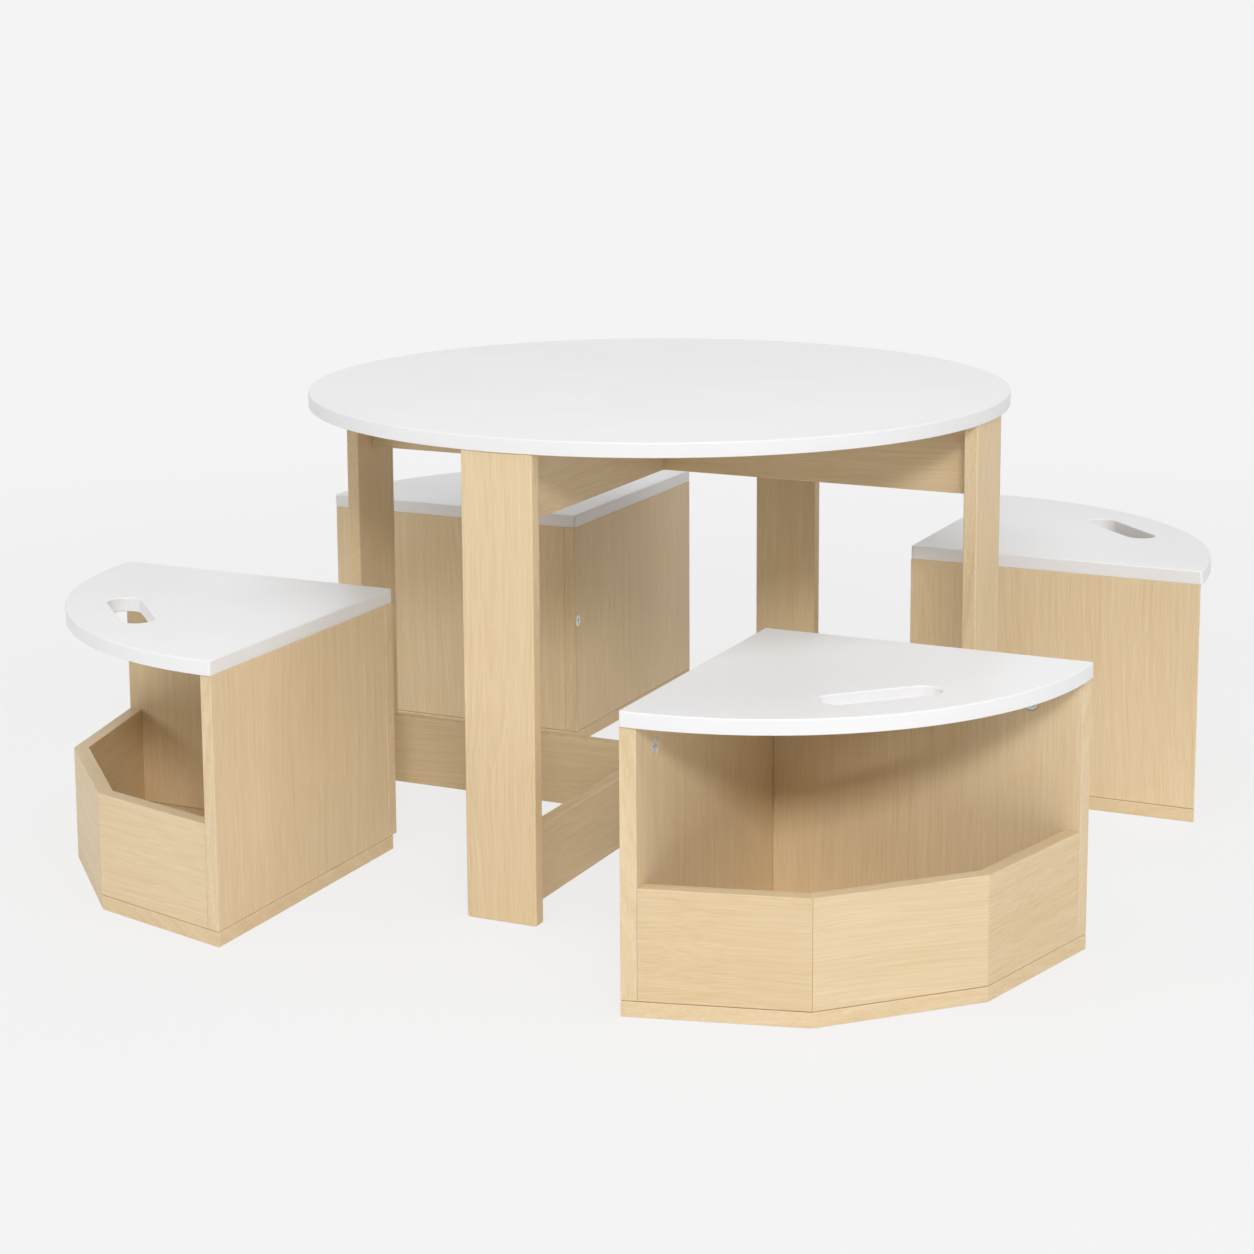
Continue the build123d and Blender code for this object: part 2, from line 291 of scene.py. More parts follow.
@dataclass(frozen=True)
class WoodFinish(Finish):
    """Light wood with a fine straight grain under clear matt lacquer."""

    name: str = "light wood, clear matt lacquer"
    pale: Colour = srgb(235, 216, 183)
    deep: Colour = srgb(213, 184, 138)
    line: Colour = srgb(198, 163, 113)
    # Rounded rims are painted lighter: mostly a painted highlight along the eased edges, partly wear
    edge: Colour = srgb(238, 219, 186)
    edge_highlight_share: float = 0.25
    mean_tone: float = 0.44
    tone_weight: float = 0.24
    ring_width: float = 7.0 * MM
    ring_weight: float = 0.24
    ring_detail: float = 1.5
    fine_rings_per_ring: float = 4.5
    fine_ring_weight: float = 0.30
    fine_ring_detail: float = 2.0
    ring_roughness: float = 0.6
    taper: float = 0.016
    fibres: GrainLayer = GrainLayer(14.0, 860.0, 2.0, 0.90)
    streaks: GrainLayer = GrainLayer(6.0, 380.0, 3.0, 0.44)
    bands: GrainLayer = GrainLayer(1.4, 60.0, 2.0, 0.20)
    pores: GrainLayer = GrainLayer(60.0, 1500.0, 1.0)
    pore_range: tuple[float, float] = (0.66, 0.80)
    pore_share: float = 0.22
    grain_roughness: float = 0.55
    cloud_turns: tuple[float, float, float] = (5.0, 12.0, 12.0)
    cloud_weight: float = 0.22
    sway_turns: tuple[float, float, float] = (2.2, 5.0, 5.0)
    sway_detail: float = 2.5
    sway_reach: float = 36.0 * MM
    roughness: tuple[float, float] = (0.41, 0.53)
    mirror: float = 0.15
    sheen: Colour = srgb(242, 206, 150)
    lacquer: float = 0.08
    lacquer_roughness: float = 0.38
    relief: float = 0.3
    relief_depth: float = 0.05 * MM

    def inputs(self, nodes: NodeTree) -> dict[str, Value]:
        """Colour, gloss and relief by each board's place in the timber.

        Args:
            nodes: The material's tree.

        Returns:
            The shader's inputs.
        """
        place = nodes.attribute("timber", "Vector")
        bent = self._bent(nodes, place)
        rings, fine_rings = self._rings(nodes, bent)
        layers = (self.fibres, self.streaks, self.bands, self.pores)
        fibres, streaks, bands, pores = (self._drawn_out(nodes, bent, layer) for layer in layers)
        parts = (
            (rings, nodes.math("MULTIPLY", nodes.attribute("figure"), self.ring_weight)),
            (fine_rings, self.fine_ring_weight),
            (fibres, self.fibres.weight),
            (streaks, self.streaks.weight),
            (bands, self.bands.weight),
            (nodes.noise(place, self.cloud_turns), self.cloud_weight),
            (nodes.attribute("tone"), self.tone_weight),
        )
        depth: Value = self.mean_tone
        for part, weight in parts:
            centred = nodes.math("SUBTRACT", part, NOISE_MEAN)
            depth = nodes.math("ADD", nodes.math("MULTIPLY", centred, weight), depth)
        depth = nodes.math("MINIMUM", nodes.math("MAXIMUM", depth, 0.0), 1.0)
        colour = nodes.mix(depth, self.pale, self.deep)
        dark_pores = nodes.band(pores, *self.pore_range, 0.0, self.pore_share)
        colour = nodes.mix(dark_pores, colour, self.line)
        # Painted highlight, with some wear: the rounded rims are mixed towards the lighter edge colour
        wear_and_highlight = nodes.math("MULTIPLY", nodes.attribute("eased"), self.edge_highlight_share)
        height = nodes.math("ADD", fibres, streaks)
        return {
            "Base Color": nodes.mix(wear_and_highlight, colour, self.edge),
            "Roughness": nodes.spread(fibres, *self.roughness),
            "Normal": nodes.bump(height, self.relief, self.relief_depth),
            "Specular IOR Level": self.mirror,
            "Specular Tint": self.sheen,
            "Coat Weight": self.lacquer,
            "Coat Roughness": self.lacquer_roughness,
        }

    def _bent(self, nodes: NodeTree, place: Socket) -> Socket:
        """Place in the log, swayed as its heart sways.

        Args:
            nodes: The material's tree.
            place: Place in a straight log.

        Returns:
            The swayed place.
        """
        sway = nodes.noise(place, self.sway_turns, self.sway_detail, coloured=True)
        swing = nodes.vector("SUBTRACT", sway, (NOISE_MEAN, NOISE_MEAN, NOISE_MEAN))
        reach = (0.0, self.sway_reach, self.sway_reach)
        return nodes.vector("ADD", place, nodes.vector("MULTIPLY", swing, reach))

    def _drawn_out(self, nodes: NodeTree, bent: Socket, layer: GrainLayer) -> Socket:
        """One layer of the grain."""
        turns = (layer.turns_along, layer.turns_across, layer.turns_across)
        return nodes.noise(bent, turns, layer.detail, self.grain_roughness)

    def _rings(self, nodes: NodeTree, bent: Socket) -> tuple[Socket, Socket]:
        """Growth rings of random width round the heart.

        Args:
            nodes: The material's tree.
            bent: Place in the swayed log.

        Returns:
            The broad rings and the fine ones between them.
        """
        parts = nodes.add("ShaderNodeSeparateXYZ", {0: bent}).outputs
        across = nodes.add("ShaderNodeCombineXYZ", {1: parts[1], 2: parts[2]}).outputs[0]
        narrowing = nodes.math("MULTIPLY", parts[0], self.taper)
        tapered = nodes.math("ADD", nodes.length(across), narrowing)
        turns = nodes.math("DIVIDE", tapered, self.ring_width)
        kinds = ((1.0, self.ring_detail), (self.fine_rings_per_ring, self.fine_ring_detail))
        broad, fine = (
            nodes.add(
                "ShaderNodeTexNoise",
                {"W": turns, "Scale": scale, "Detail": detail, "Roughness": self.ring_roughness},
                noise_dimensions="1D",
            ).outputs[0]
            for scale, detail in kinds
        )
        return broad, fine


@dataclass(frozen=True)
class PaintFinish(Finish):
    """Smooth satin white lacquer on board."""

    name: str = "satin white lacquer, top"
    colour: Colour = srgb(236, 236, 236)
    shade: Colour = srgb(233, 233, 233)
    cloud_turns: float = 7.0
    roughness: tuple[float, float] = (0.34, 0.40)
    ripple_turns: float = 900.0
    ripple: float = 0.25
    ripple_depth: float = 0.02 * MM

    def inputs(self, nodes: NodeTree) -> dict[str, Value]:
        """The faint ripple and cloudiness of sprayed lacquer.

        Args:
            nodes: The material's tree.

        Returns:
            The shader's inputs.
        """
        place = nodes.object_place()
        cloud = nodes.noise(place, self.cloud_turns)
        ripple = nodes.noise(place, self.ripple_turns)
        return {
            "Base Color": nodes.mix(nodes.spread(cloud, 0.0, 1.0), self.colour, self.shade),
            "Roughness": nodes.spread(cloud, *self.roughness),
            "Normal": nodes.bump(ripple, self.ripple, self.ripple_depth),
        }


@dataclass(frozen=True)
class MetalFinish(Finish):
    """Nickel plate with fine scratches."""

    name: str = "nickel plate"
    bright: Colour = srgb(238, 241, 242)
    dull: Colour = srgb(220, 224, 227)
    cloud_turns: float = 160.0
    cloud_detail: float = 3.0
    cloud_range: tuple[float, float] = (0.35, 0.65)
    scratch_turns: tuple[float, float, float] = (300.0, 300.0, 6000.0)
    scratch: float = 0.3
    scratch_depth: float = 0.01 * MM
    roughness: tuple[float, float] = (0.36, 0.54)
    metallic: float = 0.5

    def inputs(self, nodes: NodeTree) -> dict[str, Value]:
        """A cloudy plate with fine level scratches.

        Args:
            nodes: The material's tree.

        Returns:
            The shader's inputs.
        """
        place = nodes.object_place()
        cloud = nodes.noise(place, self.cloud_turns, self.cloud_detail)
        scratch = nodes.noise(place, self.scratch_turns)
        cloudy = nodes.band(cloud, *self.cloud_range, 0.0, 1.0)
        return {
            "Base Color": nodes.mix(cloudy, self.bright, self.dull),
            "Metallic": self.metallic,
            "Roughness": nodes.spread(scratch, *self.roughness),
            "Normal": nodes.bump(scratch, self.scratch, self.scratch_depth),
        }


@dataclass(frozen=True)
class DowelFinish(Finish):
    """Plain beech with short pores."""

    name: str = "plain beech dowel"
    pale: Colour = srgb(222, 194, 152)
    deep: Colour = srgb(198, 164, 118)
    pore_turns: float = 700.0
    pore_share: float = 0.6
    pore_depth: float = 0.05 * MM
    pore_relief: float = 0.4
    cloud_turns: float = 60.0
    roughness: tuple[float, float] = (0.6, 0.75)

    def inputs(self, nodes: NodeTree) -> dict[str, Value]:
        """The short pores of turned beech.

        Args:
            nodes: The material's tree.

        Returns:
            The shader's inputs.
        """
        place = nodes.object_place()
        pores = nodes.noise(place, self.pore_turns)
        cloud = nodes.noise(place, self.cloud_turns)
        fine = nodes.math("MULTIPLY", pores, self.pore_share)
        both = nodes.math("ADD", fine, nodes.math("MULTIPLY", cloud, 1 - self.pore_share))
        return {
            "Base Color": nodes.mix(nodes.spread(both, 0.0, 1.0), self.pale, self.deep),
            "Roughness": nodes.spread(pores, *self.roughness),
            "Normal": nodes.bump(pores, self.pore_relief, self.pore_depth),
        }


class Finishes:
    """The object's finished materials: the seats' own, and one for each record slot."""

    def __init__(self) -> None:
        """Make the materials."""
        # The seats get a lighter, cooler copy of the top's white lacquer: painted light that makes up for
        # the table's shade and the wood's warm bounce
        seat = PaintFinish("satin white lacquer, seats, painted lighter", srgb(240, 240, 241), srgb(237, 237, 238))
        self.seat = seat.material()
        self.by_slot = {
            Slot.LIGHT_WOOD: WoodFinish().material(),
            Slot.WHITE_BOARD: PaintFinish().material(),
            Slot.NICKEL: MetalFinish().material(),
            Slot.DOWEL_WOOD: DowelFinish().material(),
        }

    def dress_cad_node(self, name: str, slot: Slot) -> None:
        """Give a CAD node that stays in view the finish of its slot.

        Args:
            name: The node's name.
            slot: Its slot in the record.
        """
        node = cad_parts[name]
        if not node.material_slots:
            node.data.materials.append(None)
        for place in node.material_slots:
            place.link = "OBJECT"
            place.material = self.by_slot[slot]


@dataclass
class Timber:
    """The log that the boards are cut from, each at another place."""

    seed: int
    reach: float = 0.16
    spread: float = 3.0
    mean_tone: float = 0.5
    tone_spread: float = 0.5
    cut_roll: float = 0.35
    band_tilt: tuple[float, float] = (0.08, 0.34)
    band_slant_share: float = 0.35
    band_roll: float = 0.45
    band_tone_spread: float = 0.25

    def __post_init__(self) -> None:
        """Start the draws."""
        self.draw = random.Random(self.seed)

    def cut(self, grain_angle: float) -> tuple[Matrix, float]:
        """Take the next board out of the log.

        Args:
            grain_angle: Turn from the outline's X to the grain, in radians.

        Returns:
            The matrix from the board's own frame to the log's, whose X is its heart, and the
            board's tone from 0, pale, to 1, deep.
        """
        turned = Euler((self.draw.uniform(-self.cut_roll, self.cut_roll), 0, 0)).to_matrix().to_4x4()
        along = self.draw.uniform(0, self.spread)
        aside = self.draw.uniform(-self.reach / 2, self.reach / 2)
        outward = self.draw.uniform(self.reach / 2, self.reach)
        moved = Matrix.Translation((along, aside, outward))
        tone = self.mean_tone + self.draw.uniform(-self.tone_spread, self.tone_spread)
        return moved @ turned @ Matrix.Rotation(-grain_angle, 4, "Z"), tone

    def strip(self) -> tuple[Matrix, float]:
        """Take an edge band out of the log, tilted so that the rings run across it.

        Returns:
            The matrix from the band's own frame, with X along it, to the log's, and its tone.
        """
        tilt = self.draw.uniform(*self.band_tilt)
        roll = self.draw.uniform(-self.band_roll, self.band_roll)
        turned = Euler((roll, tilt, tilt * self.band_slant_share)).to_matrix().to_4x4()
        along = self.draw.uniform(0, self.spread)
        outward = self.draw.uniform(self.reach / 2, self.reach)
        tone = self.mean_tone + self.draw.uniform(-self.band_tone_spread, self.band_tone_spread)
        return Matrix.Translation((along, 0, outward)) @ turned, tone


@dataclass
class Outline:
    """Closed flat outline, anticlockwise round a board and clockwise round a hole in it.

    Each edge has its share of the board's easing, from 0, sharp, to 1.
    """

    points: Sequence[Sequence[float]]
    eased: list[float] = field(default_factory=list)
    flattest: float = 0.05
    straightest: float = 1e-4

    def __post_init__(self) -> None:
        """Make flat vectors of the points, and ease every edge unless told otherwise."""
        self.points = [Vector(point[:2]) for point in self.points]
        self.eased = self.eased or [1.0] * len(self.points)

    def rounded(self, radius: float, steps: int = 4) -> "Outline":
        """The outline with its outer corners rounded, apart from the nearly straight ones.

        Args:
            radius: Radius of the corners.
            steps: Edges in each corner.

        Returns:
            The new outline, whose corner edges pass from one side's easing to the other's.
        """
        points, eased = [], []
        count = len(self.points)
        for index, corner in enumerate(self.points):
            to_last = (self.points[index - 1] - corner).normalized()
            to_next = (self.points[(index + 1) % count] - corner).normalized()
            last_share, next_share = self.eased[index - 1], self.eased[index]
            if to_next.cross(to_last) <= self.flattest:
                points.append(corner)
                eased.append(next_share)
                continue
            half = to_last.angle(to_next) / 2
            centre = corner + (to_last + to_next).normalized() * (radius / math.sin(half))
            start = corner + to_last * (radius / math.tan(half)) - centre
            turn = math.pi - 2 * half
            for step in range(steps + 1):
                points.append(centre + Matrix.Rotation(turn * step / steps, 2) @ start)
                middle_share = (step + 0.5) / steps
                eased.append(last_share + (next_share - last_share) * middle_share)
            eased[-1] = next_share
        return Outline(points, eased)

    def inset(self, distance: float) -> list[Vector]:
        """Points of the outline moved into the board.

        Args:
            distance: Way from each edge inwards, of which the edge takes its share.

        Returns:
            The moved points.
        """
        moved = []
        count = len(self.points)
        for index, point in enumerate(self.points):
            last_edge = (point - self.points[index - 1]).normalized()
            next_edge = (self.points[(index + 1) % count] - point).normalized()
            last_in, next_in = Vector((-last_edge.y, last_edge.x)), Vector((-next_edge.y, next_edge.x))
            last_step, next_step = distance * self.eased[index - 1], distance * self.eased[index]
            area = last_in.cross(next_in)
            if abs(area) < self.straightest:
                moved.append(point + (last_in + next_in).normalized() * (last_step + next_step) / 2)
            else:
                shift_x = last_step * next_in.y - next_step * last_in.y
                shift_y = next_step * last_in.x - last_step * next_in.x
                moved.append(point + Vector((shift_x, shift_y)) / area)
        return moved

    def runs(self, shortest: float = 5.0 * MM, sharpest: float = 0.3) -> list[tuple[int, float]]:
        """Straight runs of the outline, each of which gets its own edge band.

        Args:
            shortest: Length under which an edge stays with the run before it.
            sharpest: Turn from which an edge starts a run of its own, in radians.

        Returns:
            For each edge the number of its run and the length of outline up to its start.
        """
        found = []
        number, passed, heading = -1, 0.0, None
        for index, point in enumerate(self.points):
            edge = self.points[(index + 1) % len(self.points)] - point
            turned = heading is None or edge.angle(heading) > sharpest
            if number < 0 or (turned and edge.length > shortest):
                number, heading = number + 1, edge
            found.append((number, passed))
            passed += edge.length
        return found


def arc(centre: Vector, radius: float, start: float, turn: float, steps: int) -> list[Vector]:
    """Points along an arc, with both ends. The start and the turn are in radians."""
    angles = [start + turn * step / steps for step in range(steps + 1)]
    return [centre.to_2d() + Vector((math.cos(a), math.sin(a))) * radius for a in angles]


def circle(centre: Vector, radius: float, sides: int, clockwise: bool = False) -> Outline:
    """Round outline."""
    turn = -math.tau if clockwise else math.tau
    return Outline(arc(centre, radius, 0, turn, sides)[:-1])


@dataclass
class Pocket:
    """Blind round hole in a board's face."""

    face: Face
    centre: Vector
    radius: float
    depth: float


@dataclass
class Board:
    """Flat board with rounded rims, in its own frame: outline in X and Y, thickness along Z."""

    outline: Outline
    thickness: float
    ease: float
    low_ease: float | None = None
    holes: list[Outline] = field(default_factory=list)
    pockets: list[Pocket] = field(default_factory=list)
    banded: bool = True
    bevel: float = 0.0
    bevelled: Face = Face.LOW
    band_figure: float = 2.2
    rim_steps: int = 3
    pocket_sides: int = 40
    pocket_ease: float = 0.25 * MM

    def _rim(self, ease: float) -> list[tuple[float, float]]:
        """Profile of a rounded rim.

        Args:
            ease: Radius of the rim, or zero for a sharp one.

        Returns:
            The inset of each ring of points and its height over the face, from the face on.
        """
        if ease <= 0:
            return [(0.0, 0.0)]
        angles = [QUARTER_TURN * step / self.rim_steps for step in range(self.rim_steps + 1)]
        return [(ease * (1 - math.sin(a)), ease * (1 - math.cos(a))) for a in angles]

    def _profile(self) -> list[tuple[float, float]]:
        """Profile of the side walls.

        Returns:
            The inset and the height of each ring of points, from the low face to the high one.
        """
        low = self._rim(self.ease if self.low_ease is None else self.low_ease)
        high = [(inset, self.thickness - height) for inset, height in reversed(self._rim(self.ease))]
        return low + high

    def _walls(
        self, mesh: bmesh.types.BMesh, outline: Outline, profile: list[tuple[float, float]]
    ) -> list[Ring]:
        """Add the walls round an outline.

        Args:
            mesh: The mesh in the making.
            outline: The outline that the walls follow.
            profile: Inset and height of each ring of points.

        Returns:
            The rings of points.
        """
        eased = mesh.faces.layers.float["eased"]
        rings = []
        for inset, height in profile:
            rings.append([mesh.verts.new((*point, height)) for point in outline.inset(inset)])
        count = len(outline.points)
        rim_limit = max(height for _, height in profile) / 2
        for (low_spot, low), (high_spot, high) in zip(zip(profile, rings), zip(profile[1:], rings[1:])):
            in_rim = high_spot[1] - low_spot[1] < rim_limit
            for index in range(count):
                after = (index + 1) % count
                face = mesh.faces.new((low[index], low[after], high[after], high[index]))
                # Marks the rounded rims; the wood finish paints a highlight, with some wear, on these
                # faces
                face[eased] = float(in_rim)
        return rings

    def _cap(self, mesh: bmesh.types.BMesh, loops: list[Ring], upwards: bool) -> None:
        """Close a flat face that may have holes.

        Args:
            mesh: The mesh in the making.
            loops: The face's outer ring of points, and then those of its holes.
            upwards: Whether the face looks up.
        """
        if len(loops) == 1:
            mesh.faces.new(loops[0] if upwards else loops[0][::-1])
            return
        corners = [corner for loop in loops for corner in loop]
        for triangle in tessellate_polygon([[corner.co for corner in loop] for loop in loops]):
            a, b, c = (corners[index] for index in triangle)
            faces_up = (b.co - a.co).to_2d().cross((c.co - a.co).to_2d()) > 0
            mesh.faces.new((a, b, c) if faces_up == upwards else (a, c, b))

    def _pocket(self, mesh: bmesh.types.BMesh, pocket: Pocket) -> Ring:
        """Add a pocket's wall and floor.

        Args:
            mesh: The mesh in the making.
            pocket: The pocket.

        Returns:
            The pocket's ring of points in the board's face.
        """
        ring = circle(pocket.centre, pocket.radius, self.pocket_sides, clockwise=True)
        lip = self.pocket_ease
        if pocket.face is Face.HIGH:
            spots = [(0.0, self.thickness - pocket.depth), (0.0, self.thickness - lip)]
            rings = self._walls(mesh, ring, [*spots, (lip, self.thickness)])
            mesh.faces.new(rings[0][::-1])
            return rings[-1]
        rings = self._walls(mesh, ring, [(lip, 0.0), (0.0, lip), (0.0, pocket.depth)])
        mesh.faces.new(rings[-1])
        return rings[0]

    def _grain(self, mesh: bmesh.types.BMesh, walls: int, timber: Timber, grain: float) -> None:
        """Give every face its place in the log.

        Args:
            mesh: The mesh in the making, whose first faces are the outer walls.
            walls: Count of these faces.
            timber: The log that the board is cut from.
            grain: Turn from the outline's X to the grain, in radians.
        """
        place = mesh.loops.layers.float_vector.new("timber")
        shade = mesh.loops.layers.float.new("tone")
        figure = mesh.loops.layers.float.new("figure")
        to_log, tone = timber.cut(grain)
        mesh.faces.ensure_lookup_table()
        for face in mesh.faces:
            for corner in face.loops:
                corner[place] = to_log @ corner.vert.co
                corner[shade] = tone
                corner[figure] = 1.0
        if not self.banded:
            return
        runs = self.outline.runs()
        strips = [timber.strip() for _ in range(runs[-1][0] + 1)]
        for index in range(walls):
            number, start = runs[index % len(runs)]
            face = mesh.faces[index]
            base = face.loops[0].vert.co.to_2d()
            to_log, tone = strips[number]
            for corner in face.loops:
                spot = corner.vert.co
                passed = start + (spot.to_2d() - base).length
                corner[place] = to_log @ Vector((passed, spot.z - self.thickness / 2, 0))
                corner[shade] = tone
                corner[figure] = self.band_figure

    def _bevel_end(self, mesh: bmesh.types.BMesh) -> None:
        """Cut the far end aslant, by the whole bevel on one face and by nothing on the other.

        Args:
            mesh: The mesh in the making.
        """
        far = max(point.x for point in self.outline.points)
        end_depth = self.thickness / 3
        for vert in mesh.verts:
            if far - vert.co.x < end_depth:
                share = vert.co.z / self.thickness
                vert.co.x -= self.bevel * (1 - share if self.bevelled is Face.LOW else share)

    def mesh(
        self, name: str, place: Matrix, timber: Timber, grain: float | None
    ) -> bpy.types.Mesh:
        """Make the board's mesh at its place.

        Args:
            name: Name of the mesh.
            place: The matrix from the board's frame to the row frame.
            timber: The log that the board is cut from.
            grain: Turn of the grain on the outline in radians, or None for a painted board.

        Returns:
            The mesh, with its attributes for the finish.
        """
        mesh = bmesh.new()
        mesh.faces.layers.float.new("eased")
        outer = self._walls(mesh, self.outline, self._profile())
        walls = len(mesh.faces)
        low_loops, high_loops = [outer[0]], [outer[-1]]
        for hole in self.holes:
            rings = self._walls(mesh, hole, self._profile())
            low_loops.append(rings[0])
            high_loops.append(rings[-1])
        for pocket in self.pockets:
            loops = low_loops if pocket.face is Face.LOW else high_loops
            loops.append(self._pocket(mesh, pocket))
        self._cap(mesh, low_loops, upwards=False)
        self._cap(mesh, high_loops, upwards=True)
        if self.bevel:
            self._bevel_end(mesh)
        if grain is not None:
            self._grain(mesh, walls, timber, grain)
        for face in mesh.faces:
            face.smooth = True
        mesh.transform(place)
        made = bpy.data.meshes.new(name)
        mesh.to_mesh(made)
        mesh.free()
        return made


def add_object(name: str, data: bpy.types.ID) -> bpy.types.Object:
    """Put an object into the scene.

    Args:
        name: Its name.
        data: Its mesh, light or camera.

    Returns:
        The object, at the origin.
    """
    made = bpy.data.objects.new(name, data)
    bpy.context.scene.collection.objects.link(made)
    return made


def plain_mesh(piece: bpy.types.Object) -> None:
    """Turn what the modifiers make of a piece into its own mesh, and remove them.

    Args:
        piece: The piece.
    """
    graph = bpy.context.evaluated_depsgraph_get()
    evaluated = piece.evaluated_get(graph)
    made = bpy.data.meshes.new_from_object(evaluated, preserve_all_data_layers=True, depsgraph=graph)
    piece.modifiers.clear()
    piece.data = made


def frame_matrix(x_axis: Vector, y_axis: Vector, origin: Vector) -> Matrix:
    """Matrix of a right-handed frame.

    Args:
        x_axis: Its X.
        y_axis: Its Y.
        origin: Its origin.

    Returns:
        The matrix from the frame to the one that its axes are given in.
    """
    matrix = Matrix((x_axis, y_axis, x_axis.cross(y_axis))).transposed().to_4x4()
    matrix.translation = origin
    return matrix


@dataclass
class Workshop:
    """Puts finished pieces into the scene and ties them to the frame."""

    finishes: Finishes
    timber: Timber
    report: list[str] = field(default_factory=list)

    def place_board(
        self,
        name: str,
        board: Board,
        place: Matrix,
        grain: float | None,
        node: str,
        body: str,
        finish: bpy.types.Material | None = None,
    ) -> None:
        """Make a board that stands for a CAD node.

        Args:
            name: Name of the piece.
            board: The board in its own frame.
            place: The matrix from that frame to the row frame.
            grain: Turn of the grain on the outline in radians, or None for a painted board.
            node: The CAD node that the board stands for.
            body: The body that it rides on.
            finish: Its material, where that isn't the slot's usual one.
        """
        slot = Slot.WHITE_BOARD if grain is None else Slot.LIGHT_WOOD
        mesh = board.mesh(name, place, self.timber, grain)
        mesh.materials.append(finish or self.finishes.by_slot[slot])
        piece = add_object(name, mesh)
        normals = piece.modifiers.new("face normals", "WEIGHTED_NORMAL")
        normals.mode = "FACE_AREA"
        plain_mesh(piece)
        self.tie(piece, slot, node, body)

    def tie(self, piece: bpy.types.Object, slot: Slot, node: str, body: str) -> None:
        """Let a piece stand for a CAD node and ride on its body.

        Args:
            piece: The finished piece.
            slot: The record's slot that its finish belongs to. Not used.
            node: The CAD node.
            body: The node's body.
        """
        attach(piece, body)
        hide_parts(node)
        self.report.append(f"{piece.name} stands for {node}")

    def dress(self, node: str, slot: Slot) -> None:
        """Dress a CAD node that keeps its shape."""
        self.finishes.dress_cad_node(node, slot)
        self.report.append(f"{node} keeps its shape")


@dataclass
class FixingPlaces:
    """Where fixings of one kind stand: a point in the board's face, and two directions."""

    points: list[Vector] = field(default_factory=list)
    facing: list[Vector] = field(default_factory=list)
    across: list[Vector] = field(default_factory=list)

    def add(self, point: Vector, facing: Vector, across: Vector) -> None:
        """Add a place.

        Args:
            point: Middle of the fixing in the board's face.
            facing: The way that the fixing faces.
            across: The way that one arm of its slot points.
        """
        self.points.append(point)
        self.facing.append(facing)
        self.across.append(across)

    def mesh(self, name: str) -> bpy.types.Mesh:
        """Loose points that carry the two directions.

        Args:
            name: Name of the mesh.

        Returns:
            The mesh.
        """
        mesh = bpy.data.meshes.new(name)
        mesh.from_pydata(self.points, [], [])
        for key, values in (("facing", self.facing), ("across", self.across)):
            layer = mesh.attributes.new(key, "FLOAT_VECTOR", "POINT")
            layer.data.foreach_set("vector", [number for value in values for number in value])
        return mesh


